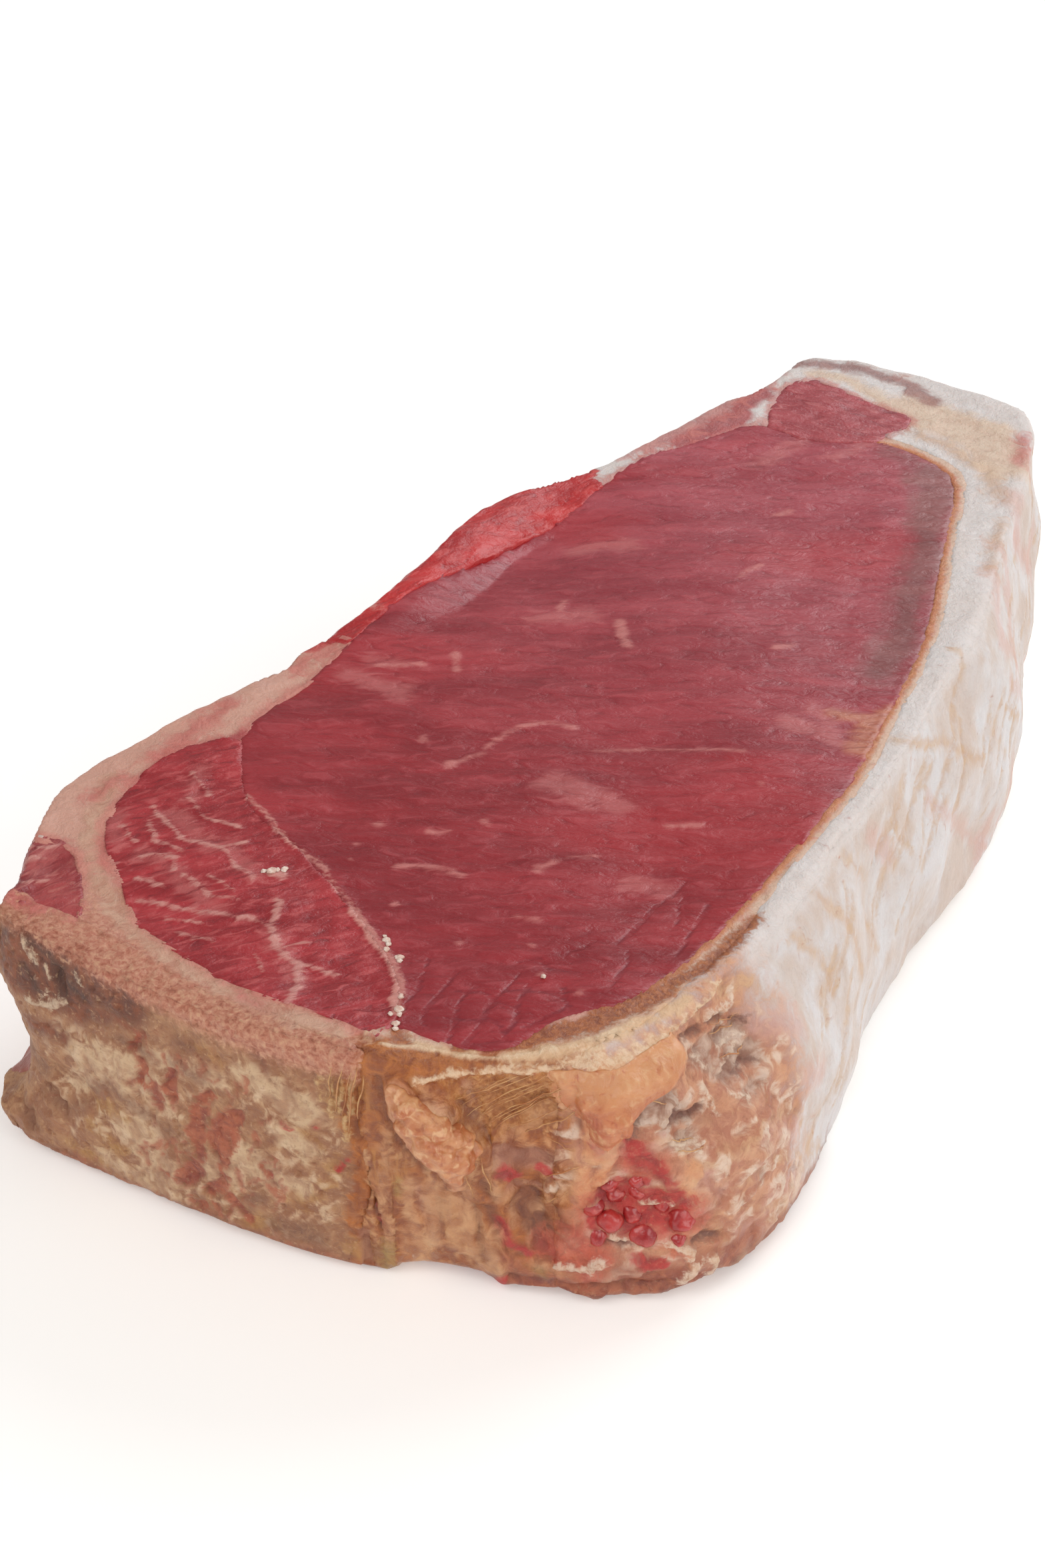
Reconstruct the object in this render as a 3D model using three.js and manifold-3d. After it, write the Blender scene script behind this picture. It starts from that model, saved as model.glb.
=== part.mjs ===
// A thick raw sirloin steak on the bone, lying on its lower cut face.
// Millimetres, +Z up. +Y runs from the sawn bone to the tail of the steak, and +X towards the back fat.
import * as THREE from "three";
import { mergeVertices } from "three/addons/utils/BufferGeometryUtils.js";
import Module from "manifold-3d";

// Driving dimensions.
const THICKNESS = 50;
const SEAM_GAP = 0.3;
const TOP_EDGE = 1.4;
const BOTTOM_EDGE = 1.5;
const AROUND = 144;
const CAP_SPREAD = [0, 0.22, 0.42, 0.6, 0.76, 0.89, 0.96];
const WALL_LEVELS = [0.91, 0.83, 0.75, 0.67, 0.58, 0.49, 0.4, 0.31, 0.22, 0.13];
const KNIFE_STEP = 5;
const KNIFE_REACH = 12;
const KNIFE_OVERRUN = 0.5;

// The outline of the upper cut face, anticlockwise from the left end of the sawn bone.
// Each knot is x, y and flare: how far the wall stands further out at the bottom than at the top.
const BONE_FACE = [
  [-56, -122, 3],
  [-42, -124.5, 1.2],
  [-16, -126, -1],
  [0, -125.5, -2.4],
  [15, -122.5, -2.6],
];
const FRONT_CORNER = [
  [26, -117.5, -2.8],
  [38, -110, 1.6],
  [47, -101, 7.2],
  [53, -88, 12.8],
];
const BACK_FAT_SIDE = [
  [55, -70, 13.6],
  [55.5, -48, 10.4],
  [55.5, -25, 4.2],
  [54, -5, 4.2],
  [51.5, 18, 6.6],
  [48.5, 40, 8.6],
  [42.5, 65, 7.4],
  [36.6, 90, 3.8],
  [31.5, 108, 2.4],
];
const TAIL_END = [
  [24, 119.6, 3],
  [6, 123, 3],
  [-11, 122.5, 3],
  [-25, 118, 2],
  [-26.7, 104, 2],
];
const RIB_SIDE = [
  [-33.3, 86, 2],
  [-39.5, 60, 2],
  [-48.2, 40, 1],
  [-53, 22, 1],
  [-51.4, 0, 2],
  [-54.2, -24, 2],
  [-59, -50, 2],
  [-67, -78, 1],
  [-68.4, -90.5, 0],
  [-63.8, -103.6, 0],
  [-59, -112.7, 2.5],
];

// Lumps and hollows of the wall. along is measured round the outline from the left end of the bone,
// up from the board; reach is the half size each way, turn leans the form, and lift is how far it stands out.
const WALL_FORMS = [
  { name: "foot of the bone", along: -4, up: 5, reach: [9, 5], turn: 0, lift: 2.5 },
  { name: "notch over the foot", along: -5, up: 22, reach: [13, 15], turn: 0, lift: -9 },
  { name: "hollow in the bone end", along: 14, up: 20, reach: [8, 5], turn: 0.4, lift: -3.5 },
  { name: "lump beside the bone", along: 86, up: 36, reach: [5.5, 13], turn: 0.49, lift: 4 },
  { name: "hollow of the ligament", along: 97, up: 38, reach: [9, 9], turn: 0.3, lift: -3 },
  { name: "fat flap", along: 118, up: 42, reach: [9, 7.5], turn: -0.3, lift: 4.5 },
  { name: "lower hollow", along: 102, up: 22, reach: [6.5, 9], turn: 0, lift: -3.5 },
  { name: "torn hollow", along: 116, up: 20, reach: [9, 8], turn: 0, lift: -3.5 },
  { name: "pocket behind the flap", along: 141, up: 40, reach: [8, 6], turn: 0, lift: -2.5 },
  { name: "pocket under the flap", along: 127, up: 33, reach: [5, 5], turn: 0, lift: -2 },
  { name: "upper fat lobe", along: 135, up: 29, reach: [8, 8], turn: 0.3, lift: 2 },
  { name: "middle fat lobe", along: 149, up: 32, reach: [7, 11], turn: 0.2, lift: 1.8 },
  { name: "foot of the fat", along: 128, up: 8, reach: [9, 7], turn: 0, lift: 0.8 },
];

// Knife lines on the cut face. They split the steak where its muscles, fat, membrane and bone meet.
const EYE_LOOP = [
  [15.5, -112.8],
  [22, -112.2],
  [29.7, -110.5],
  [34, -107.5],
  [36, -102],
  [39.5, -96],
  [44.3, -89],
  [47, -80],
  [48.6, -68],
  [49.8, -50],
  [50.3, -30],
  [49.3, -14],
  [46.8, 1],
  [44.2, 20],
  [40.4, 37],
  [30, 67],
  [24.4, 84],
  [21, 88.3],
  [12, 91.8],
  [3, 91],
  [-5, 86.2],
  [-13, 84.6],
  [-19, 86],
  [-24.6, 82],
  [-28, 74],
  [-34, 63],
  [-37.5, 47],
  [-38.5, 35],
  [-41.5, 22],
  [-44, 7],
  [-47.5, -5],
  [-48.8, -16],
  [-49, -27],
  [-48.6, -42],
  [-50, -54],
  [-48.5, -63],
  [-43.4, -69.8],
  [-36, -78],
  [-27.2, -81.4],
  [-18, -85.6],
  [-2, -93.6],
  [9.7, -102],
  [14.3, -108],
];
const MEMBRANE_OUTER = [
  [46, -112],
  [43, -104.8],
  [48.4, -95],
  [50.4, -83],
  [52, -70],
  [52, -50],
  [52.1, -30],
  [51.2, -14],
  [48.6, 1],
  [46, 20],
  [42.3, 37],
  [32, 67],
  [26.4, 84],
  [23, 90],
  [12.4, 94],
  [3.2, 94],
];
const MEMBRANE_END = [
  [16.5, -130],
  [15.6, -121],
  [14.6, -117],
  [15.5, -112.8],
];
const BONE_INNER = [
  [-66, -118],
  [-56, -118],
  [-42.5, -117.5],
  [-33, -118.5],
  [-22, -120],
  [-12, -121.5],
  [4, -120.7],
  [15.6, -121],
];
const SIDE_MUSCLE_OUTER = [
  [14.6, -117],
  [4, -116.8],
  [-4, -118],
  [-12, -118],
  [-23, -115.9],
  [-34, -113],
  [-42, -106],
  [-47.5, -102],
  [-54.7, -94],
  [-57.2, -86],
  [-57.4, -75],
  [-54, -66.5],
  [-48.5, -63],
];
const CORNER_MUSCLE = [
  [-72, -103.5],
  [-62, -103],
  [-56.5, -102],
  [-51, -106.5],
  [-46, -112.5],
  [-43.5, -115],
  [-42.5, -117.5],
];
const RIB_MUSCLE_NEAR = [
  [-64, -33],
  [-56, -28],
  [-49, -27],
];
const RIB_MUSCLE_FAR = [
  [-54, 56],
  [-44, 50],
  [-37.5, 47],
];
const TAIL_MUSCLE = [
  [-19, 86],
  [-22, 93],
  [-22.6, 103],
  [-19, 107],
  [-6, 105],
  [5, 104],
  [6, 101],
  [3.2, 94],
  [3, 91],
];

// The pieces, each with a point of the plan inside it and its colour.
const PIECES = {
  eye_muscle: { seed: [0, -20], colour: 0x9c2f38, roughness: 0.42 },
  side_muscle: { seed: [-20, -100], colour: 0xa5353d, roughness: 0.45 },
  corner_muscle: { seed: [-55, -111], colour: 0x9a3a3f, roughness: 0.5 },
  rib_muscle: { seed: [-48, 15], colour: 0xb03a3e, roughness: 0.4 },
  tail_muscle: { seed: [-10, 95], colour: 0xa53c45, roughness: 0.45 },
  feather_bone: { seed: [-20, -123], colour: 0xc39a80, roughness: 0.8 },
  silverskin: { seed: [30, -113], colour: 0xb07f4c, roughness: 0.5 },
  back_fat: { seed: [53.5, -30], colour: 0xe6dccb, roughness: 0.55 },
  seam_fat: { seed: [-60, -82], colour: 0xddb7a0, roughness: 0.55 },
};

const wasm = await Module();
wasm.setup();

const outline = new THREE.CatmullRomCurve3(
  [...BONE_FACE, ...FRONT_CORNER, ...BACK_FAT_SIDE, ...TAIL_END, ...RIB_SIDE].map((k) => new THREE.Vector3(...k)),
  true,
  "centripetal",
);
const PERIMETER = outline.getLength();
const MIDDLE = new THREE.Vector2(-2, -2);

// A soft mound: 1 at its middle and close to 0 at one reach away.
function mound(dx, dy, reachX, reachY) {
  const r = (dx / reachX) ** 2 + (dy / reachY) ** 2;
  return Math.exp(-1.6 * r * Math.sqrt(r + 0.15));
}

// Height of the upper cut face: slack meat, a raised rib strip and a proud bone.
function topHeight(x, y) {
  const slack = 0.55 * Math.sin(x / 17 + 0.6) * Math.cos(y / 23 - 0.4) + 0.35 * Math.sin((x + y) / 11);
  const ribStrip = 2.4 * mound(x + 49, y - 12, 7, 42) - 1.6 * mound(x + 38, y - 14, 8, 30);
  const bone = 0.9 * THREE.MathUtils.smoothstep(-y, 112, 119);
  return THICKNESS + slack + ribStrip + bone;
}

// How far the wall stands out of the straight loft between the two outlines.
function wallRelief(along, up) {
  const fatSide = THREE.MathUtils.smoothstep(along, 82, 110);
  const slack =
    fatSide * (0.9 * Math.sin(along / 9.5 + 1.2 * Math.sin(up / 8)) * Math.cos(up / 10.5 + along / 31) +
      0.5 * Math.sin(along / 4.6 + up / 5.2));
  let out = slack;
  for (const form of WALL_FORMS) {
    const cos = Math.cos(form.turn);
    const sin = Math.sin(form.turn);
    const da = along - form.along - (along > form.along + PERIMETER / 2 ? PERIMETER : 0);
    const du = up - form.up;
    out += form.lift * mound(cos * da + sin * du, cos * du - sin * da, ...form.reach);
  }
  return out;
}

// One point of the skin. side is 0 to 1 round the outline, ring counts from the middle of the top to the bottom.
function skinPoint(side, ring) {
  const at = outline.getPointAt(side % 1);
  const tangent = outline.getTangentAt(side % 1);
  const outward = new THREE.Vector2(tangent.y, -tangent.x).normalize();
  const spot = (out) => new THREE.Vector2(at.x, at.y).addScaledVector(outward, out);
  const lastWall = CAP_SPREAD.length + WALL_LEVELS.length + 2;
  if (ring <= CAP_SPREAD.length) {
    const spread = CAP_SPREAD[ring] ?? 1;
    const p = MIDDLE.clone().lerp(spot(-TOP_EDGE), spread);
    return new THREE.Vector3(p.x, p.y, topHeight(p.x, p.y));
  }
  if (ring > lastWall) {
    const p = ring === lastWall + 1 ? spot(at.z - BOTTOM_EDGE) : MIDDLE;
    return new THREE.Vector3(p.x, p.y, 0);
  }
  const levels = [1 - TOP_EDGE / THICKNESS, ...WALL_LEVELS, BOTTOM_EDGE / THICKNESS];
  const level = levels[ring - CAP_SPREAD.length - 1];
  const up = level * THICKNESS;
  const bulge = Math.sin(Math.PI * level);
  const fade = THREE.MathUtils.smoothstep(up, 0, 5) * THREE.MathUtils.smoothstep(THICKNESS - up, 0, 3);
  const out = at.z * (1 - level ** 2.4) + bulge + wallRelief((side % 1) * PERIMETER, up) * fade;
  const p = spot(out);
  const rim = topHeight(p.x, p.y) - THICKNESS;
  return new THREE.Vector3(p.x, p.y, up + rim * THREE.MathUtils.smoothstep(level, 0.6, 1));
}

// The whole steak: a sphere's net of triangles drawn over cut face, wall and base.
function wholeSteak() {
  const rings = CAP_SPREAD.length + WALL_LEVELS.length + 4;
  const net = new THREE.SphereGeometry(1, AROUND, rings);
  const position = net.getAttribute("position");
  for (let i = 0; i < position.count; i++) {
    const ring = Math.floor(i / (AROUND + 1));
    const side = (i % (AROUND + 1)) / AROUND;
    const p = skinPoint(side, ring);
    position.setXYZ(i, p.x, p.y, p.z);
  }
  return net;
}

// A closed three.js geometry as a manifold-3d solid.
function solid(geometry) {
  geometry.deleteAttribute("normal");
  geometry.deleteAttribute("uv");
  const merged = mergeVertices(geometry, 1e-4);
  return new wasm.Manifold(
    new wasm.Mesh({
      numProp: 3,
      vertProperties: merged.getAttribute("position").array,
      triVerts: new Uint32Array(merged.index.array),
    }),
  );
}

// A manifold-3d solid as a three.js geometry.
function geometryOf(made) {
  const mesh = made.getMesh();
  const geometry = new THREE.BufferGeometry();
  geometry.setAttribute("position", new THREE.BufferAttribute(new Float32Array(mesh.vertProperties), 3));
  geometry.setIndex(new THREE.BufferAttribute(new Uint32Array(mesh.triVerts), 1));
  return geometry;
}

// The upright cut that a knife leaves along a line of the plan.
function knifeCut(points, closed) {
  const curve = new THREE.CatmullRomCurve3(points.map(([x, y]) => new THREE.Vector3(x, y, 0)), closed, "centripetal");
  const steps = Math.ceil(curve.getLength() / KNIFE_STEP);
  const edge = (offset) => {
    const line = [];
    for (let i = 0; i < steps + (closed ? 0 : 1); i++) {
      const at = curve.getPointAt(i / steps), tangent = curve.getTangentAt(i / steps);
      if (!closed && i === 0) at.addScaledVector(tangent, -KNIFE_OVERRUN);
      if (!closed && i === steps) at.addScaledVector(tangent, KNIFE_OVERRUN);
      line.push(new THREE.Vector2(at.x - tangent.y * offset, at.y + tangent.x * offset));
    }
    return line;
  };
  const left = edge(SEAM_GAP / 2), right = edge(-SEAM_GAP / 2);
  const shape = new THREE.Shape(closed ? right : [...left, ...right.reverse()]);
  if (closed) shape.holes.push(new THREE.Path(left));
  const cut = new THREE.ExtrudeGeometry(shape, { depth: THICKNESS + 2 * KNIFE_REACH, bevelEnabled: false });
  return solid(cut.translate(0, 0, -KNIFE_REACH));
}

// The steak parted along every knife line.
function partedSteak() {
  let steak = solid(wholeSteak()).subtract(knifeCut(EYE_LOOP, true));
  const lines = [
    MEMBRANE_OUTER, MEMBRANE_END, BONE_INNER, SIDE_MUSCLE_OUTER, CORNER_MUSCLE,
    RIB_MUSCLE_NEAR, RIB_MUSCLE_FAR, TAIL_MUSCLE,
  ];
  for (const line of lines) steak = steak.subtract(knifeCut(line, false));
  return steak.decompose();
}

// Whether a solid holds the point of the plan, halfway up the steak.
function holds(piece, [x, y]) {
  const needle = solid(new THREE.BoxGeometry(0.4, 0.4, 0.4).translate(x, y, THICKNESS / 2));
  return piece.intersect(needle).volume() > 0;
}

const steak = new THREE.Group();
const parted = partedSteak();
for (const [name, { seed, colour, roughness }] of Object.entries(PIECES)) {
  const piece = parted.find((p) => holds(p, seed));
  const material = new THREE.MeshStandardMaterial({ color: colour, roughness, metalness: 0 });
  const mesh = new THREE.Mesh(geometryOf(piece), material);
  mesh.name = name;
  steak.add(mesh);
}

// The origin is the middle of the box round the steak, on the board.
const box = new THREE.Box3().setFromObject(steak);
const centre = box.getCenter(new THREE.Vector3());
steak.position.set(-centre.x, -centre.y, 0);

export default steak;
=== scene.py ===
# %% [markdown]
# # A raw sirloin steak on the bone
#
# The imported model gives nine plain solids: five muscles, a sawn bone, a membrane and two kinds of fat. Each
# is copied here, given a fine even skin, worked like clay, painted with masks and finished with its own
# material. All lengths in the tables below are millimetres, and Blender's own are metres.

# %% Load the fixed frame
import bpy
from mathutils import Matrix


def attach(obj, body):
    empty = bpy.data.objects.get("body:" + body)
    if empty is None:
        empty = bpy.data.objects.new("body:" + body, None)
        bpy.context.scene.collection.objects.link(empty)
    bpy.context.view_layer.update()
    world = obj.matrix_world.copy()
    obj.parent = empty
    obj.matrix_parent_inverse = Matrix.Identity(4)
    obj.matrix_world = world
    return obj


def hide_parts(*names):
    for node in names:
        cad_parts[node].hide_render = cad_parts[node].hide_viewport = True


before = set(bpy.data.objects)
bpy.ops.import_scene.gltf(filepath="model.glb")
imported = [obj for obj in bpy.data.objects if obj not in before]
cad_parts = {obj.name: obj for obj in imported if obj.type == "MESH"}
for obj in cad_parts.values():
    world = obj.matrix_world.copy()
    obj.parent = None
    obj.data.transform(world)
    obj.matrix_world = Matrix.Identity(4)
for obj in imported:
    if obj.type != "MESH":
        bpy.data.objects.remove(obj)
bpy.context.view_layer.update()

from math import cos, radians, sin

import bpy
import numpy as np
from mathutils import Vector, kdtree
from mathutils.bvhtree import BVHTree

MM = 0.001

# %% [markdown]
# ## Camera, floor and light
#
# The photo looks down on the steak from beyond its bone end, with a lens of about 65 mm. The meat is lit by
# a soft window behind and to the right, so its far part has a cool sheen, and the sawn bone is in half
# shade. Large area lights over a pale world give that, with no hard shadows.

# %% Camera
camera = bpy.data.objects.new("camera", bpy.data.cameras.new("camera"))
bpy.context.collection.objects.link(camera)
camera.location = (205.917 * MM, -389.203 * MM, 349.68 * MM)
camera.rotation_euler = (radians(53), 0, radians(31))
camera.data.lens = 65.33
camera.data.sensor_width = 36
camera.data.clip_start = 0.01
bpy.context.scene.camera = camera
bpy.context.scene.view_settings.view_transform = "Standard"
print("camera looks along", tuple(round(v, 3) for v in camera.matrix_basis.to_3x3() @ Vector((0, 0, -1))))


# %% Floor and lights
def tone(red, green, blue):
    """A colour as seen in the photo, made linear for a shader."""
    seen = [channel / 255 for channel in (red, green, blue)]
    return [c / 12.92 if c <= 0.04045 else ((c + 0.055) / 1.055) ** 2.4 for c in seen] + [1.0]


bpy.ops.object.select_all(action="DESELECT")
bpy.ops.mesh.primitive_plane_add(size=6, location=(0, 0, -0.0002))
floor = bpy.context.object
floor.name = "floor"
floor.data.materials.append(bpy.data.materials.new("pale floor"))
floor.data.materials[0].use_nodes = True
floor_shader = floor.data.materials[0].node_tree.nodes["Principled BSDF"]
floor_shader.inputs["Base Color"].default_value = tone(248, 247, 245)
floor_shader.inputs["Roughness"].default_value = 0.9
floor_shader.inputs["Specular IOR Level"].default_value = 0.1
floor_shader.inputs["Emission Color"].default_value = tone(255, 254, 252)
floor_shader.inputs["Emission Strength"].default_value = 0.2

SOFTBOXES = {
    # name: (place, size, watts, colour); all of them face the middle of the steak
    "window behind": ((0.25, 1.3, 0.95), 1.3, 14, (0.93, 0.97, 1.0)),
    "fill at the right": ((1.3, -0.25, 0.75), 1.2, 8.5, (1.0, 0.985, 0.96)),
    "fill over the camera": ((-0.15, -1.1, 1.2), 1.2, 10, (1.0, 0.98, 0.96)),
}
for name, (place, size, watts, colour) in SOFTBOXES.items():
    lamp = bpy.data.objects.new(name, bpy.data.lights.new(name, "AREA"))
    lamp.data.shape = "DISK"
    lamp.data.size = size
    lamp.data.energy = watts
    lamp.data.color = colour
    lamp.location = place
    lamp.rotation_euler = (Vector((0, 0, 0.03)) - Vector(place)).to_track_quat("-Z", "Y").to_euler()
    bpy.context.collection.objects.link(lamp)

world = bpy.context.scene.world or bpy.data.worlds.new("studio")
bpy.context.scene.world = world
world.use_nodes = True
world.node_tree.nodes["Background"].inputs["Color"].default_value = (1.0, 0.99, 0.98, 1)
world.node_tree.nodes["Background"].inputs["Strength"].default_value = 0.38
print(len(SOFTBOXES), "softboxes and a pale world")

# %% [markdown]
# ## Clay tools
#
# A CAD solid has few, large faces. Its copy is merged and remeshed by voxels, which gives an even skin that
# can be pushed about point by point. The pushes come from noise (value noise for swells and grain, cell
# noise for lobules and pores) and from strokes laid one by one at real places. It is the same work as
# sculpting with a grab, a clay and a crease brush, but written down, so that it comes out the same each
# time.


# %% A fine skin on a copy of a CAD solid
def even_skin(piece, voxel, smoothing):
    """Remeshes the active piece by voxels and softens it."""
    remesh = piece.modifiers.new("skin", "REMESH")
    remesh.mode = "VOXEL"
    remesh.voxel_size = voxel * MM
    bpy.ops.object.modifier_apply(modifier=remesh.name)
    smooth = piece.modifiers.new("soften", "SMOOTH")
    smooth.iterations = smoothing
    bpy.ops.object.modifier_apply(modifier=smooth.name)
    bpy.ops.object.shade_smooth()
    return piece


def fine_skin(node, name, voxel, smoothing=2):
    """A copy of a CAD node as an evenly remeshed object, ready to be shaped."""
    bpy.ops.object.select_all(action="DESELECT")
    piece = bpy.data.objects.new(name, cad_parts[node].data.copy())
    bpy.context.collection.objects.link(piece)
    bpy.context.view_layer.objects.active = piece
    piece.select_set(True)
    piece.data.materials.clear()
    bpy.ops.object.mode_set(mode="EDIT")
    bpy.ops.mesh.select_all(action="SELECT")
    bpy.ops.mesh.remove_doubles(threshold=1e-6)
    bpy.ops.object.mode_set(mode="OBJECT")
    return even_skin(piece, voxel, smoothing)


def points(piece):
    """The piece's points as an array, in millimetres."""
    flat = np.empty(len(piece.data.vertices) * 3, dtype=np.float32)
    piece.data.vertices.foreach_get("co", flat)
    return flat.reshape(-1, 3).astype(float) / MM


def normals(piece):
    """The direction that each of the piece's points faces."""
    flat = np.empty(len(piece.data.vertices) * 3, dtype=np.float32)
    piece.data.vertex_normals.foreach_get("vector", flat)
    return flat.reshape(-1, 3).astype(float)


def put_back(piece, places):
    """Moves the piece's points to these places, in millimetres."""
    piece.data.vertices.foreach_set("co", (places * MM).astype(np.float32).ravel())
    piece.data.update()


def mask(piece, name, values):
    """Keeps one number a point on the mesh, for the material to read."""
    layer = piece.data.attributes.new(name, "FLOAT", "POINT")
    layer.data.foreach_set("value", values.astype(np.float32))


print("clay tools ready")


# %% Noise
def scatter(x, y, z, seed):
    """A number from 0 to 1 for each whole-number place, always the same for the same place."""
    mixed = (x * 374761393 + y * 668265263 + z * 1442695041 + seed * 144665) & 0xFFFFFFFF
    mixed = ((mixed ^ (mixed >> 13)) * 1274126177) & 0xFFFFFFFF
    mixed = ((mixed ^ (mixed >> 15)) * 2246822519) & 0xFFFFFFFF
    return ((mixed ^ (mixed >> 16)) & 0xFFFFFF) / 0xFFFFFF


def swell(places, size, seed, octaves=1):
    """Smooth noise from -1 to 1, with hills about size across."""
    total = np.zeros(len(places))
    weight = 1.0
    reach = 0.0
    for octave in range(octaves):
        spot = places / size * 2 ** octave + 500.0
        whole = np.floor(spot).astype(np.int64)
        part = spot - whole
        part = part * part * (3 - 2 * part)
        value = np.zeros(len(places))
        for corner in range(8):
            step = np.array([corner & 1, corner >> 1 & 1, corner >> 2])
            share = np.prod(np.where(step == 1, part, 1 - part), axis=1)
            value += share * scatter(*(whole + step).T, seed + octave)
        total += weight * (value * 2 - 1)
        reach += weight
        weight *= 0.5
    return total / reach


def lobules(places, size, seed):
    """Distance to the nearest cell centre in cell sizes, and a number from 0 to 1 for that cell."""
    spot = places / size + 500.0
    whole = np.floor(spot).astype(np.int64)
    nearest = np.full(len(places), 9.0)
    owner = np.zeros(len(places))
    for index in range(27):
        cell = whole + np.array([index % 3 - 1, index // 3 % 3 - 1, index // 9 - 1])
        centre = cell + np.stack([scatter(*cell.T, seed + axis) for axis in range(3)], axis=1)
        gap = np.linalg.norm(spot - centre, axis=1)
        closer = gap < nearest
        nearest = np.where(closer, gap, nearest)
        owner = np.where(closer, scatter(*cell.T, seed + 7), owner)
    return nearest, owner


def ramp(values, low, high):
    """0 below low, 1 above high, and a smooth step between."""
    part = np.clip((values - low) / (high - low), 0, 1)
    return part * part * (3 - 2 * part)


print("noise from", round(float(swell(np.random.default_rng(1).random((999, 3)) * 99, 7, 1).min()), 2))


# %% [markdown]
# ## Places on the steak
#
# A place on the cut face is plain x and y. A place on the side is the length along the outline, measured
# round from the left end of the sawn bone, and the height above the board. The outline is found by cutting
# the solids just under the upper face and looking outwards from the middle in every direction.


# %% The outline and its length
def slice_lines(nodes, height):
    """Start and end points of the lines where a level cut meets these CAD nodes."""
    starts, ends = [], []
    for name in nodes:
        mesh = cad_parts[name].data
        corners = points(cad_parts[name])
        mesh.calc_loop_triangles()
        index = np.empty(len(mesh.loop_triangles) * 3, dtype=np.int32)
        mesh.loop_triangles.foreach_get("vertices", index)
        for a, b, c in corners[index.reshape(-1, 3)]:
            cut = [p + (q - p) * (height - p[2]) / (q[2] - p[2])
                   for p, q in ((a, b), (b, c), (c, a)) if (p[2] < height) != (q[2] < height)]
            if len(cut) == 2:
                starts.append(cut[0][:2])
                ends.append(cut[1][:2])
    return np.array(starts), np.array(ends)


BONE_LEFT_END = np.array([-55.7, -122.6])
RIM_HEIGHT = 47.5


def outline(height, turns=1440):
    """The outermost points of all solids at one height, anticlockwise from the bone's left end."""
    start, end = slice_lines(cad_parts, height)
    side = end - start
    rim = []
    for angle in np.linspace(-np.pi, np.pi, turns, endpoint=False):
        ray = np.array([cos(angle), sin(angle)])
        cross = ray[0] * side[:, 1] - ray[1] * side[:, 0]
        cross[np.abs(cross) < 1e-12] = 1e-12
        reach = (start[:, 0] * side[:, 1] - start[:, 1] * side[:, 0]) / cross
        share = (start[:, 0] * ray[1] - start[:, 1] * ray[0]) / cross
        rim.append(ray * reach[(share >= 0) & (share <= 1)].max())
    rim = np.array(rim)
    first = np.linalg.norm(rim - BONE_LEFT_END, axis=1).argmin()
    return np.roll(rim, -first, axis=0)


def plan_tree(spots):
    """A tree that finds the nearest of these places in plan."""
    tree = kdtree.KDTree(len(spots))
    for index, (x, y) in enumerate(spots):
        tree.insert((x, y, 0), index)
    tree.balance()
    return tree


RIM = outline(RIM_HEIGHT)
RIM_STEPS = np.linalg.norm(np.roll(RIM, -1, axis=0) - RIM, axis=1)
RIM_ALONG = np.concatenate([[0], np.cumsum(RIM_STEPS)[:-1]])
RIM_TANGENT = np.roll(RIM, -6, axis=0) - np.roll(RIM, 6, axis=0)
RIM_TANGENT /= np.linalg.norm(RIM_TANGENT, axis=1)[:, None]
RIM_OUT = np.stack([RIM_TANGENT[:, 1], -RIM_TANGENT[:, 0]], axis=1)
RIM_TREE = plan_tree(RIM)
print("outline", round(float(RIM_STEPS.sum()), 1), "mm round")


# %% Places along the side, and strokes laid on it
def on_side(places):
    """For each point: along the outline, outwards from it, and the outward direction."""
    near = np.array([RIM_TREE.find((x, y, 0))[1] for x, y in places[:, :2]])
    away = places[:, :2] - RIM[near]
    out = (away * RIM_OUT[near]).sum(axis=1)
    along = RIM_ALONG[near] + (away * RIM_TANGENT[near]).sum(axis=1)
    along = np.where(along > RIM_STEPS.sum() - 12, along - RIM_STEPS.sum(), along)
    return along, out, RIM_OUT[near]


def stroke_gap(spots, path):
    """Distance of each flat spot from a line of points."""
    gap = np.full(len(spots), 1e9)
    path = np.array(path, float)
    for start, run in zip(path[:-1], np.diff(path, axis=0)):
        reach = np.clip(((spots - start) @ run) / max(run @ run, 1e-9), 0, 1)
        gap = np.minimum(gap, np.linalg.norm(spots - start - reach[:, None] * run, axis=1))
    return gap


def laid(spots, strokes, beyond=3.0):
    """How deep each spot lies inside a brush's strokes, in millimetres: below 0 it is outside them."""
    depth = np.full(len(spots), -beyond)
    for width, *path in strokes:
        path = path * 2 if len(path) == 1 else path
        low = np.min(path, axis=0) - width - beyond
        high = np.max(path, axis=0) + width + beyond
        close = ((spots > low) & (spots < high)).all(axis=1)
        depth[close] = np.maximum(depth[close], width - stroke_gap(spots[close], path))
    return depth


def wandering(spots, reach, size, seed):
    """Spots shifted by noise, so that what is laid on them has torn, uneven edges."""
    flat = np.column_stack([spots, np.zeros(len(spots))])
    return spots + reach * np.column_stack([swell(flat, size, seed, 2), swell(flat, size, seed + 50, 2)])


def flecks(count, low, high, length, width, lean, spread, seed):
    """Many small strokes at random between two corners, leaning by so many degrees from upright."""
    chance = np.random.default_rng(seed)
    strokes = []
    for _ in range(count):
        middle = chance.uniform(low, high)
        turn = radians(chance.normal(lean, spread))
        half = 0.5 * length * chance.uniform(0.4, 1.4) * np.array([sin(turn), cos(turn)])
        strokes.append((width * chance.uniform(0.5, 1.3), tuple(middle - half), tuple(middle + half)))
    return strokes


print("brushes ready")

# %% [markdown]
# ## Finishes
#
# Raw tissue is never one colour: each finish starts from mottled noise, takes on coats where a mask says
# so, and keeps its edges broken by finer noise. A little light goes in under the surface, and a thin wet
# coat lies on meat. The small helper below only keeps the node wiring short.


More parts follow.
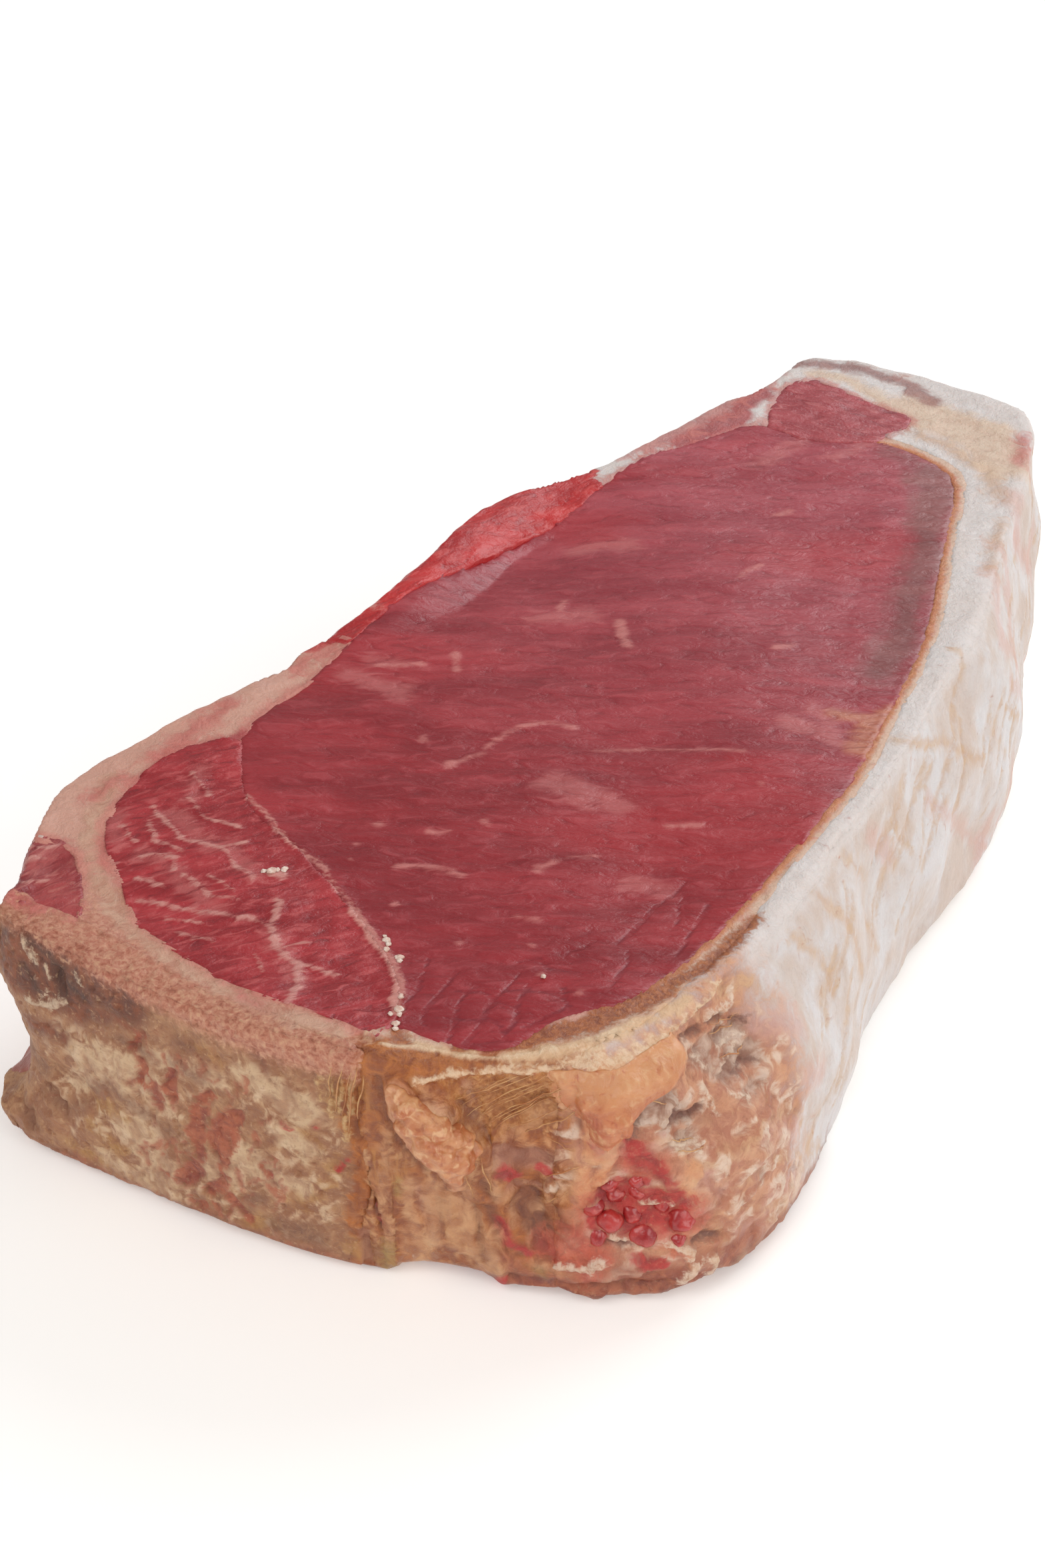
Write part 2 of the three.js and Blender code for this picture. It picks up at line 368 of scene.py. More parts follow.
# %% A helper that wires a finish
class Finish:
    """One material, wired step by step. Sizes are in millimetres of the steak."""

    def __init__(self, name, wet, rough, under=0.0, under_colour=(1.0, 0.35, 0.25)):
        self.material = bpy.data.materials.new(name)
        self.material.use_nodes = True
        self.tree = self.material.node_tree
        self.shader = self.tree.nodes["Principled BSDF"]
        self.place = self.node("ShaderNodeTexCoord").outputs["Object"]
        self.shader.inputs["Coat Weight"].default_value = wet
        self.shader.inputs["Coat Roughness"].default_value = rough
        self.shader.inputs["Subsurface Weight"].default_value = under
        self.shader.inputs["Subsurface Radius"].default_value = under_colour
        self.shader.inputs["Subsurface Scale"].default_value = 1.2 * MM

    def node(self, kind, **inputs):
        """A new node with these inputs, each a value or another node's socket."""
        made = self.tree.nodes.new(kind)
        for name, value in inputs.items():
            self.feed(made.inputs[name.replace("_", " ")], value)
        return made

    def feed(self, socket, value):
        if isinstance(value, bpy.types.NodeSocket):
            self.tree.links.new(value, socket)
        else:
            socket.default_value = value

    def turned(self, stretch, turn):
        """The place on the steak, turned round Z in degrees and drawn out along the turned X, Y and Z."""
        spun = self.node("ShaderNodeVectorRotate", Vector=self.place, Angle=radians(-turn))
        return self.node("ShaderNodeMapping", Vector=spun.outputs[0],
                         Scale=tuple(1 / s for s in stretch)).outputs[0]

    def mottle(self, size, detail=3.0, stretch=(1, 1, 1), turn=0, warp=0.0, rough=0.55):
        """Noise from 0 to 1 with blotches about size across."""
        noise = self.node("ShaderNodeTexNoise", Vector=self.turned(stretch, turn), Scale=1000 / size,
                          Detail=detail, Roughness=rough, Distortion=warp)
        return noise.outputs["Fac"]

    def mask(self, name):
        """A number that the mesh keeps for each point."""
        read = self.node("ShaderNodeAttribute")
        read.attribute_name = name
        return read.outputs["Fac"]

    def combine(self, kind, a, b):
        made = self.tree.nodes.new("ShaderNodeMath")
        made.operation = kind
        self.feed(made.inputs[0], a)
        self.feed(made.inputs[1], b)
        return made.outputs[0]

    def span(self, value, low, high, start=0.0, end=1.0):
        """The value's way from low to high, as a smooth step from start to end."""
        made = self.node("ShaderNodeMapRange", Value=value)
        made.interpolation_type = "SMOOTHSTEP"
        for socket, number in zip(("From Min", "From Max", "To Min", "To Max"), (low, high, start, end)):
            made.inputs[socket].default_value = number
        return made.outputs[0]

    def blend(self, share, under, over):
        """That share of one colour over another."""
        made = self.tree.nodes.new("ShaderNodeMix")
        made.data_type = "RGBA"
        self.feed(made.inputs[0], share)
        self.feed(made.inputs[6], under)
        self.feed(made.inputs[7], over)
        return made.outputs[2]

    def coat(self, under, name, colour, noise, ragged=1.0, soft=0.5, strength=1.0):
        """Lays a colour, or two mottled ones, inside the mask. Its edge strays and fades."""
        if isinstance(colour, tuple):
            colour = self.blend(self.span(noise, 0.36, 0.64), *colour)
        stray = self.combine("MULTIPLY", self.combine("SUBTRACT", noise, 0.5), 4 * ragged)
        inside = self.span(self.combine("ADD", self.mask(name), stray), -soft, soft, 0.0, strength)
        return self.blend(inside, under, colour)

    def bump(self, height, depth, under=None):
        """Fine relief of that depth in millimetres over what is there already."""
        made = self.node("ShaderNodeBump", Height=height, Distance=depth * MM, Strength=1.0)
        if under is not None:
            self.feed(made.inputs["Normal"], under)
        return made.outputs[0]

    def finish(self, colour, rough, relief):
        """Joins colour, roughness and relief to the shader and gives the material."""
        self.feed(self.shader.inputs["Base Color"], colour)
        self.feed(self.shader.inputs["Roughness"], rough)
        self.feed(self.shader.inputs["Normal"], relief)
        self.feed(self.shader.inputs["Coat Normal"], relief)
        return self.material


print("finish helper ready")


# %% [markdown]
# ## What all pieces share
#
# The saw and knife left the upper face nearly flat, but cut meat relaxes: it swells and sinks by less than
# a millimetre. All pieces take these swells from the same function of place, so that they still meet at
# their seams. Their inner walls grow by a hair, which closes the gaps that the solids need, and near the
# side they grow into each other unevenly, because grown tissue has no straight joints. The lower edge lies
# on the board here and lifts off it there.

# %% Shared swells and the lower edge
EDGE_LIFT = [
    # (along the side, height over the board)
    (-10, 1), (2, 1.6), (10, 0.8), (20, 0.6), (45, 1.4), (60, 0.6), (72, 0.5), (76, 0.1), (79, 2.2),
    (84, 3.2), (94, 2.6), (97, 0.6), (101, 1.6), (107, 2.2), (112, 0.6), (120, 0.8), (124, 1.8),
    (127, 2.8), (131, 1.6), (137, 0.4), (170, 0.5), (250, 0.4), (400, 0.6), (700, 0.8),
]
GRAIN_TURN = 31
GAP_CLOSE = 0.22
KNIT = 1.1
EDGE_STEP = 0.4


def settle(places, facing):
    """The swells that all pieces share, the closed seams and the lifted lower edge."""
    along, out, outward = on_side(places)
    flat = places * [1, 1, 0]
    top = ramp(places[:, 2], 40, 48)
    level = facing[:, :2]
    places = places.copy()
    places[:, 2] += top * (0.55 * swell(flat, 34, 11) + 0.25 * swell(flat, 11, 12, 2))
    inner = out < -0.9
    places[:, :2] += (GAP_CLOSE + 0.45 * top)[:, None] * level * inner[:, None]
    sideways = level - (level * outward).sum(axis=1)[:, None] * outward
    upright = np.abs(facing[:, 2]) < 0.85
    joint = ramp(np.linalg.norm(sideways, axis=1), 0.2, 0.45) * ramp(out, -9, -3) * upright
    knit = KNIT * (1 + 0.8 * swell(places, 3, 14, 2)) * joint
    places[:, :2] += knit[:, None] * sideways
    rounded_edge = ramp(np.linalg.norm(level, axis=1), 0.2, 0.7) * (facing[:, 2] > 0.2)
    places[:, 2] += 0.25 * top * inner * rounded_edge
    lift = np.interp(along, *zip(*EDGE_LIFT)) * ramp(-out, 14, 1) * (1 - ramp(places[:, 2], 3, 12))
    places[:, 2] = np.maximum(places[:, 2] + lift, 0)
    return places, along, out, outward


def fibre_frame(places, turn, run, across, deep):
    """Places as the grain of the meat sees them: long along the fibres, short across."""
    angle = radians(turn)
    lengthwise = places[:, 0] * cos(angle) + places[:, 1] * sin(angle)
    crosswise = places[:, 1] * cos(angle) - places[:, 0] * sin(angle)
    return np.column_stack([lengthwise / run, crosswise / across, places[:, 2] / deep])


def edge_tree(nodes):
    """The edges of these solids in plan, as a tree of places to look up."""
    return plan_tree([a + (b - a) * share for a, b in zip(*slice_lines(nodes, RIM_HEIGHT))
                      for share in np.linspace(0, 1, max(2, int(np.linalg.norm(b - a) / EDGE_STEP)))])


def gap_to(tree, places, where):
    """Distance in plan from each of these points to the nearest edge in the tree."""
    gap = np.full(len(places), 99.0)
    gap[where] = [tree.find((x, y, 0))[2] for x, y in places[where, :2]]
    return gap


def lap(places):
    """How far meat laps over fat here, in millimetres, and fat over meat where it is below 0."""
    return (14 + 14 * ramp(places[:, 2], 45, 30)) * swell(places * [1, 1, 0.7], 11, 82, 3)


MUSCLE_EDGES = edge_tree(["eye_muscle", "side_muscle", "corner_muscle", "rib_muscle", "tail_muscle"])
RIB_EDGE = edge_tree(["rib_muscle"])
FAT_EDGES = edge_tree(["seam_fat", "back_fat"])


def hand_over(piece, node, material):
    """Gives the piece its material and its place in the model, instead of the CAD node."""
    piece.data.materials.append(material)
    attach(piece, "root")
    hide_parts(node)
    triangles = sum(len(face.vertices) - 2 for face in piece.data.polygons)
    print(piece.name, triangles, "triangles")


print("shared swells ready")

# %% [markdown]
# ## The eye of meat
#
# The large lean muscle. Its fibres are cut across and lie in broad streaks over the steak, moist and dark
# crimson in front and pinker further back, where the window is mirrored and that sheen is also painted in.
# Fine streaks and spots of fat are scattered in it, with a wedge of fat from the right, deep creases near
# the front with painted shade in them, and a dull greyish-brown band along the fat. Streaks and creases
# are strokes laid one by one, and the grain is drawn-out noise.

# %% Strokes on the eye: (half width, (x, y), (x, y), ...)
EYE_MARBLING = [
    (0.55, (-6, -78.5), (0, -76), (4.5, -75)), (0.3, (-1, -77.2), (3, -74.6)),
    (0.25, (15, -67), (17, -63), (22, -58.5)), (0.6, (15, -66.5)), (0.25, (18.5, -79.5), (22.5, -79)),
    (0.35, (25, -85)), (0.45, (30, -90.5)), (0.9, (37.5, -92)), (0.55, (-14.5, -71)),
    (0.35, (-14.5, -77)), (0.35, (-13, -81.5)), (0.45, (0, -87)), (0.35, (14, -90)), (0.5, (1, -61)),
    (0.25, (-6, -68), (-3, -66.5)), (0.35, (-10, -42), (-9, -37), (-7, -33), (-3, -30), (1, -29)),
    (0.3, (7, -33), (12, -29), (18, -26)), (0.3, (18, -26), (24, -22.5), (30, -20)),
    (0.5, (28, -44.5), (33, -42)), (0.6, (37, -27)), (1.0, (-12.5, -49.5)),
    (0.3, (-12.5, -49.5), (-9.5, -44)), (0.6, (-21, -46)), (0.5, (-30, -21), (-27, -25)),
    (1.0, (-9, 4), (-4, -2)), (0.6, (-22, 6), (-21, 3)), (0.5, (-40, -31), (-34, -27)),
    (0.4, (3, 30), (5, 35)), (0.5, (20, 12), (22, 14)), (0.4, (-2, 55), (0, 58)),
]
EYE_PALE = [
    (2.2, (-44, -37), (-38, -37), (-32, -36)), (1.5, (-41, -31), (-34, -27)), (1.5, (-14, 70), (-9, 85)),
    (1.5, (-2, 80), (3, 95)), (2.2, (42, -8), (33, -9)), (1.5, (40, -4), (35, -3)),
    (1.5, (-24, -2), (-15, 4)), (2.5, (6, -46), (18, -44)), (1.5, (30, -62), (36, -60)),
    (2.0, (-30, 24), (-22, 30)),
]
EYE_FAT_WEDGE = [(2.6, (47, 5), (45, -1), (48, -8)), (1.3, (43, 1), (38.5, -1))]
EYE_CREASES = [
    (0.3, (22, -98), (23, -105), (26, -112)), (0.3, (27, -92), (27, -101), (28, -111)),
    (0.35, (30, -93), (32, -103), (33, -107)), (0.3, (34, -92), (37, -96), (34, -103)),
    (0.3, (38, -57), (37, -66), (37, -78)), (0.3, (45, -60), (46, -75)),
    (0.25, (17, -96), (18, -104), (20, -110)), (0.3, (40, -78), (41, -88)), (0.25, (31, -84), (33, -79)),
    (0.25, (24, -90), (28, -87), (35, -88)), (0.25, (19, -101), (25, -99), (31, -100)),
    (0.25, (22, -106), (28, -104), (33, -106)), (0.25, (28, -96), (33, -94), (38, -95)),
    (0.2, (42, -68), (40, -60)), (0.25, (12, -96), (14, -104), (16, -109)),
]
# A dull greyish-brown band along the fat: (half width, (x, y), ...)
EYE_GREY_BROWN_BAND = [(4.2, (20, 86), (26, 70), (32.5, 50), (37, 31), (41, 15)), (1.8, (20, 88), (8, 88.5))]
EYE_SEAM = [
    (0.45, (-38, -76), (-27, -82), (-15, -86), (-5, -92)),
    (0.8, (-5, -92), (3, -97), (8, -100), (13, -106), (15, -110)),
]
print(len(EYE_MARBLING), "streaks of fat and", len(EYE_CREASES), "creases")


# %% Shape the eye
def shape_eye():
    """The eye with its grain, creases and streaks in relief, and their masks."""
    piece = fine_skin("eye_muscle", "lean_eye", 0.8)
    places = settle(points(piece), normals(piece))[0]
    face = ramp(places[:, 2], 44, 48)
    plan = places[:, :2]
    marbling = laid(wandering(plan, 0.7, 4, 31), EYE_MARBLING)
    creases = laid(wandering(plan, 1.4, 6, 35), EYE_CREASES)
    wedge = laid(wandering(plan, 1.6, 6, 38), EYE_FAT_WEDGE)
    seam = laid(wandering(plan, 0.6, 4, 43), EYE_SEAM)
    grain = fibre_frame(places, GRAIN_TURN, 20, 3.0, 30)
    bundle = lobules(fibre_frame(places * [1, 1, 0], GRAIN_TURN, 9, 4.5, 30), 1, 33)[0]
    front = ramp(places[:, 1], -40, -100)
    places[:, 2] += face * (0.26 * swell(grain, 1, 21, 3) + 0.16 * swell(grain * [2, 2.5, 1], 1, 25, 2)
                            + (0.1 + 0.2 * front) * (0.5 - bundle)
                            - 0.16 * ramp(creases, -1.4, 0.3) + 0.12 * ramp(marbling, -0.6, 0.4)
                            + 0.2 * ramp(wedge, -1, 1) + 0.25 * ramp(seam, -0.6, 0.4))
    put_back(piece, places)
    mask(piece, "marbling", np.minimum(marbling, places[:, 2] - 46))
    mask(piece, "pale", laid(wandering(plan, 2.0, 6, 37), EYE_PALE))
    mask(piece, "wedge", wedge)
    mask(piece, "crease", np.minimum(creases, places[:, 2] - 46))
    mask(piece, "grey_brown_band", np.minimum(laid(wandering(plan, 2.5, 14, 41), EYE_GREY_BROWN_BAND, 6), places[:, 2] - 44))
    mask(piece, "seam", seam)
    mask(piece, "far", ramp(places[:, 1], -70, 70))
    return piece


lean_eye = shape_eye()


# %% Lean meat finish
def lean_finish():
    """Dark crimson in front, pinker far off with a painted sheen, and streaks along the grain."""
    meat = Finish("lean meat", wet=0.22, rough=0.3, under=0.1)
    wide = meat.mottle(34, 3, (1.8, 0.9, 1), GRAIN_TURN, 0.3)
    broad = meat.mottle(12, 4, (2.6, 0.7, 1), GRAIN_TURN, 0.4)
    fine = meat.mottle(2.6, 5, (2.0, 0.8, 1), GRAIN_TURN, 0.9)
    speck = meat.mottle(0.9, 4)
    front = meat.blend(meat.span(broad, 0.35, 0.65), tone(130, 18, 28), tone(152, 34, 42))
    # The back tones carry a painted sheen of the window, laid in by the far mask below.
    back = meat.blend(meat.span(broad, 0.35, 0.68), tone(148, 48, 60), tone(168, 70, 80))
    colour = meat.blend(meat.mask("far"), front, back)
    colour = meat.blend(meat.span(wide, 0.5, 0.68, 0, 0.45), colour, tone(174, 40, 46))
    colour = meat.blend(meat.span(fine, 0.5, 0.72, 0, 0.3), colour, tone(188, 80, 86))
    colour = meat.blend(meat.span(fine, 0.46, 0.28, 0, 0.4), colour, tone(110, 12, 24))
    colour = meat.coat(colour, "pale", tone(190, 108, 106), fine, 1.6, 1.8, 0.5)
    # A dull greyish-brown band along the fat.
    colour = meat.coat(colour, "grey_brown_band", (tone(118, 66, 64), tone(136, 82, 78)), broad, 2.0, 2.5, 0.8)
    # The crease coat is painted shade: darker red inside the creases.
    colour = meat.coat(colour, "crease", tone(104, 12, 28), fine, 0.3, 0.3, 0.6)
    colour = meat.coat(colour, "wedge", (tone(168, 94, 68), tone(188, 118, 90)), fine, 0.6, 1.4, 0.85)
    colour = meat.coat(colour, "marbling", tone(200, 124, 118), fine, 0.7, 0.8, 0.7)
    colour = meat.coat(colour, "seam", tone(200, 134, 124), speck, 0.5, 0.5, 0.75)
    rough = meat.span(fine, 0.3, 0.7, 0.36, 0.5)
    relief = meat.bump(meat.mottle(0.7, 3, (2, 0.8, 1), GRAIN_TURN), 0.1)
    relief = meat.bump(fine, 0.45, relief)
    relief = meat.bump(meat.span(meat.mask("crease"), 0.25, -0.45), 0.1, relief)
    return meat.finish(colour, rough, relief)


hand_over(lean_eye, "eye_muscle", lean_finish())

# %% [markdown]
# ## The small muscles
#
# The side muscle between bone and eye is marbled with branching veins of fat, and a pale seam parts it from
# the eye. The corner muscle by the bone's left end is dark. The strip along the far left edge stands a
# little proud and is the brightest red, and a small red muscle lies in the fat of the far end.

# %% Strokes on the small muscles
SIDE_VEINS = [
    (0.55, (-17, -97), (-14, -103), (-10, -107), (-5, -108.5), (-2.5, -112), (-1, -116), (0, -119)),
    (0.4, (-50, -87), (-45, -90), (-40, -92), (-33, -90.5), (-28, -93), (-24, -95)),
    (0.3, (-52, -94), (-47, -96)), (0.3, (-43, -99), (-38, -97), (-36, -100)),
    (0.3, (-41, -104), (-35, -104)), (0.8, (-20, -91), (-22, -92)),
    (0.4, (-37, -109), (-30, -107), (-23, -105), (-19, -103)), (0.3, (-26, -112), (-20, -111)),
    (0.3, (-19, -103), (-14, -103)), (0.25, (-10, -107), (-6, -102)),
    (0.3, (-46, -82), (-40, -85), (-34, -84)), (0.25, (-50, -76), (-44, -79)),
    (0.3, (-33, -90.5), (-30, -87)), (0.25, (-5, -108.5), (2, -107)), (0.25, (-30, -98), (-25, -99)),
    (0.25, (-46, -103), (-43, -107)), (0.2, (-34, -100), (-27, -102), (-22, -100)),
    (0.25, (-48, -91), (-44, -95), (-38, -95)), (0.2, (-30, -110), (-24, -108)),
    (0.2, (-8, -113), (-12, -110)),
]
SIDE_SEAM = [
    (0.4, (-38, -76), (-27, -82), (-15, -86), (-5, -92)),
    (0.9, (-5, -92), (3, -97), (8, -100), (13, -106), (15, -110)),
]
SIDE_PALE = [
    (2, (-47, -87), (-40, -90), (-30, -91), (-24, -94)), (1.5, (-44, -98), (-34, -101), (-24, -104)),
    (1.3, (-14, -104), (-6, -109), (-1, -115)), (1.8, (-54, -92), (-50, -97)),
    (1.5, (-50, -74), (-46, -82)),
]
CORNER_VEINS = [
    (0.3, (-62, -112), (-58, -108)), (0.25, (-60, -118), (-54, -112)), (0.25, (-66, -104), (-62, -102)),
    (0.25, (-64, -108), (-58, -103)),
]
WALL_FASCIA = flecks(90, (430, 1), (640, 47), 14, 0.7, 62, 22, 221)
CORNER_PALE = [(1.5, (-60, -104), (-56, -112)), (1.2, (-66, -98), (-62, -96))]
print(len(SIDE_VEINS), "veins in the side muscle")


# %% Shape the small muscles
def shape_small_muscle(node, name, voxel, veins=(), seam=(), pale=(), proud=0.3):
    """A small muscle with its bundles and veins in relief, and their masks."""
    piece = fine_skin(node, name, voxel)
    places, along, out, outward = settle(points(piece), normals(piece))
    face = ramp(places[:, 2], 44, 48)
    wall = ramp(out, -3, -0.5)
    plan = places[:, :2]
    vein = laid(wandering(plan, 0.9, 4, 51), veins)
    seam = laid(wandering(plan, 0.6, 4, 43), seam)
    grain = fibre_frame(places, GRAIN_TURN + 25, 8, 2.4, 8)
    bundle = lobules(grain * [1.2, 0.7, 0.5], 1, 53)[0]
    places[:, 2] += face * (proud * swell(grain, 1, 52, 3) + 0.12 * swell(places, 2.0, 55, 2)
                            + 0.3 * (0.5 - bundle)
                            + 0.15 * ramp(vein, -0.6, 0.3) + 0.25 * ramp(seam, -0.6, 0.4))
    push = wall * (0.5 * swell(places, 9, 56, 3) + 0.2 * swell(places, 2.5, 57, 2) - 0.2)
    places[:, :2] += push[:, None] * outward
    put_back(piece, places)
    mask(piece, "vein", np.minimum(vein, places[:, 2] - 46))
    mask(piece, "seam", seam)
    mask(piece, "pale", laid(wandering(plan, 1.5, 4, 59), pale))
    mask(piece, "skin", np.minimum(out + 2, 42 - places[:, 2]))
    mask(piece, "fat_lap", 0.8 - lap(places) - gap_to(FAT_EDGES, places, out > -3))
    side = wandering(np.column_stack([along, places[:, 2]]), 2, 8, 84)
    mask(piece, "fascia", np.minimum(laid(side, WALL_FASCIA), out + 3))
    return piece


marbled_side = shape_small_muscle("side_muscle", "marbled_side", 0.55, SIDE_VEINS, SIDE_SEAM, SIDE_PALE)
dark_corner = shape_small_muscle("corner_muscle", "dark_corner", 0.45, CORNER_VEINS, pale=CORNER_PALE)
bright_rib = shape_small_muscle("rib_muscle", "bright_rib_strip", 0.5, proud=0.5)
tail_end = shape_small_muscle("tail_muscle", "tail_end_muscle", 0.5)


# %% Small muscle finishes
def small_muscle_finish(name, dark, light, streak, deep, turn, skin=None):
    """Marbled meat in its own reds, with fat and fascia where its masks say so."""
    meat = Finish(name, wet=0.22, rough=0.32, under=0.1)
    broad = meat.mottle(7, 4, (1.8, 0.8, 1), turn, 0.6)
    fine = meat.mottle(1.8, 5, (2.2, 0.8, 1), turn, 0.8)
    speck = meat.mottle(0.8, 4)
    colour = meat.blend(meat.span(broad, 0.36, 0.66), dark, light)
    colour = meat.blend(meat.span(fine, 0.5, 0.7, 0, 0.6), colour, streak)
    colour = meat.blend(meat.span(fine, 0.47, 0.28, 0, 0.6), colour, deep)
    colour = meat.coat(colour, "pale", tone(184, 104, 100), fine, 1.8, 1.6, 0.4)
    colour = meat.coat(colour, "vein", tone(200, 142, 132), fine, 0.7, 0.5, 0.75)
    colour = meat.coat(colour, "seam", tone(204, 142, 130), fine, 0.6, 0.5, 0.8)
    colour = meat.coat(colour, "skin", skin or light, fine, 1.5, 1.0, 0.85)
    wall = meat.span(meat.mask("skin"), -1, 1)
    colour = meat.blend(meat.combine("MULTIPLY", meat.span(broad, 0.5, 0.7, 0, 0.5), wall), colour,
                        tone(200, 116, 106))
    colour = meat.coat(colour, "fascia", tone(206, 150, 138), fine, 1.2, 0.9, 0.7)
    lapping_fat = (tone(202, 158, 140), tone(212, 188, 178))
    colour = meat.coat(colour, "fat_lap", lapping_fat, broad, 1.6, 1.0, 0.95)
    rough = meat.span(fine, 0.3, 0.7, 0.36, 0.5)
    return meat.finish(colour, rough, meat.bump(fine, 0.4, meat.bump(meat.mottle(0.6, 3), 0.12)))


side_finish = small_muscle_finish(
    "marbled meat", dark=tone(142, 20, 28), light=tone(168, 42, 48),
    streak=tone(190, 84, 84), deep=tone(104, 10, 20), turn=56)
corner_finish = small_muscle_finish(
    "dark corner meat", dark=tone(134, 34, 38), light=tone(162, 60, 60),
    streak=tone(184, 108, 98), deep=tone(108, 24, 28), turn=75, skin=tone(150, 84, 66))
rib_finish = small_muscle_finish(
    "bright meat", dark=tone(164, 18, 22), light=tone(192, 38, 38),
    streak=tone(202, 80, 76), deep=tone(132, 18, 24), turn=70)
tail_finish = small_muscle_finish(
    "tail meat", dark=tone(150, 50, 58), light=tone(172, 70, 76),
    streak=tone(188, 104, 104), deep=tone(124, 40, 46), turn=10)
hand_over(marbled_side, "side_muscle", side_finish)
hand_over(dark_corner, "corner_muscle", corner_finish)
hand_over(bright_rib, "rib_muscle", rib_finish)
hand_over(tail_end, "tail_muscle", tail_finish)

# %% [markdown]
# ## The side of the steak: bone, ligament and fat
#
# One skin goes round the side, whatever lies under it, so relief and colours are laid on it as a whole and
# each piece takes the part that it covers. That way they run on over the joints.
#
# The saw went through spongy bone and smeared it: tan and grey-cream paste with ochre stains, open patches
# where dark red marrow shows, a dark left end with a few chalky crumbs, and two small cavities near the
# foot. Along the top edge the bone is salmon pink and crumbly.

# %% Strokes on the bone: (half width, (along, up), ...)
SIDE = {
    "dark": [
        (4.4, (5, 46), (18, 47), (30, 45)), (4.4, (6, 41), (20, 41)), (2, (20, 38), (25, 41)),
        (1.6, (8, 31), (15, 32)), (1.0, (40, 42), (43, 41)), (0.8, (55, 46), (57, 44)),
    ],
    "black": [
        (1.2, (15.5, 46), (16.5, 41)), (0.7, (9, 48.5), (14, 48)), (0.6, (8, 43), (11, 39)),
        (0.8, (18, 44), (21, 42)),
    ],
    "chalk": [
        (0.8, (9, 36), (13, 37), (16, 39)), (0.5, (8, 48), (10, 45)), (0.5, (13, 45), (14, 43)),
        (0.4, (10, 42)), (0.4, (19, 47), (20, 45)), (0.3, (12, 39), (13, 40)),
    ],
    "bone_cream": [
        (4, (28, 18), (34, 9)), (2.6, (25, 33), (34, 30)), (3, (19, 30), (27, 28)),
        (3.5, (50, 21), (60, 18)), (3, (44, 15), (50, 19)), (3.5, (54, 40), (63, 36)),
        (2.5, (58, 30), (63, 27)), (2, (34, 36), (48, 37)), (1.5, (31, 30), (36, 25)),
        (2, (15, 20), (20, 24)), (2.5, (22, 6), (36, 5)),
    ],
    "marrow": [
        (1.7, (50, 30), (47, 26), (46, 22)), (1.4, (46, 22), (46.5, 18)), (1.8, (43.5, 28), (42, 23)),
        (1.1, (42, 22), (42, 17)), (2.1, (41, 14), (38, 10)), (1.2, (46.5, 15), (44, 10)),
        (1.5, (38, 34), (37.5, 29)), (1.0, (34, 30), (35, 25)), (0.8, (32, 34), (31.5, 30)),
        (0.7, (42, 5.5), (41, 4)), (0.8, (55.5, 19), (56, 17)), (1.0, (47, 10), (50, 6)),
        (0.8, (33, 40), (30, 36)), (0.8, (45, 33), (43, 31)),
    ],
    "ochre": [
        (2, (22, 19.5), (27, 20)), (2, (20, 13), (25, 11)), (0.8, (60, 12), (64, 17), (67, 22), (68, 28)),
        (1.8, (50, 5), (55, 6)), (1.2, (44, 42), (48, 41)), (1.0, (63, 31), (66, 28)),
        (2.2, (70, 6), (77, 4)), (1.6, (15, 6), (22, 4)), (1.2, (69, 46), (68, 38)),
        (1.0, (59, 15), (62, 12)),
    ],
    "shadow": [
        (1.0, (20, 22), (25, 25), (30, 23), (34, 21)), (1.4, (9, 15.5), (14, 13.5)),
        (0.6, (14, 13.5), (18, 17)), (1.5, (5, 9.5), (5.5, 6)), (2.4, (56, 6), (63, 7)),
        (1.4, (28, 37), (33, 36)), (1.2, (39, 37), (44, 36)), (1.2, (51, 10), (54, 13)),
        (1.0, (35, 19), (37, 21)), (2.0, (4, 24), (8, 20)),
    ],
    "cavity": [(1.0, (9, 15.5), (13, 13.8)), (0.8, (5, 9), (5.5, 6.5)), (0.7, (16, 45), (16.5, 42))],
    "cream_fibre": [
        (0.5, (72, 48), (71, 40), (69.5, 32)), (0.35, (70, 48), (69, 38)), (0.35, (74, 46), (73, 36)),
        (0.3, (68, 47), (67.5, 36)), (0.3, (66.5, 46), (66, 40)),
    ],
}
print(len(SIDE["marrow"]), "marrow patches")

# %% [markdown]
# At the near corner a thick brown ligament covers the end of the bone. It is torn open: golden fibres fan
# out in the hollow at the top, a peach lump hangs over it, and cream strings run down the side with old
# blood between.

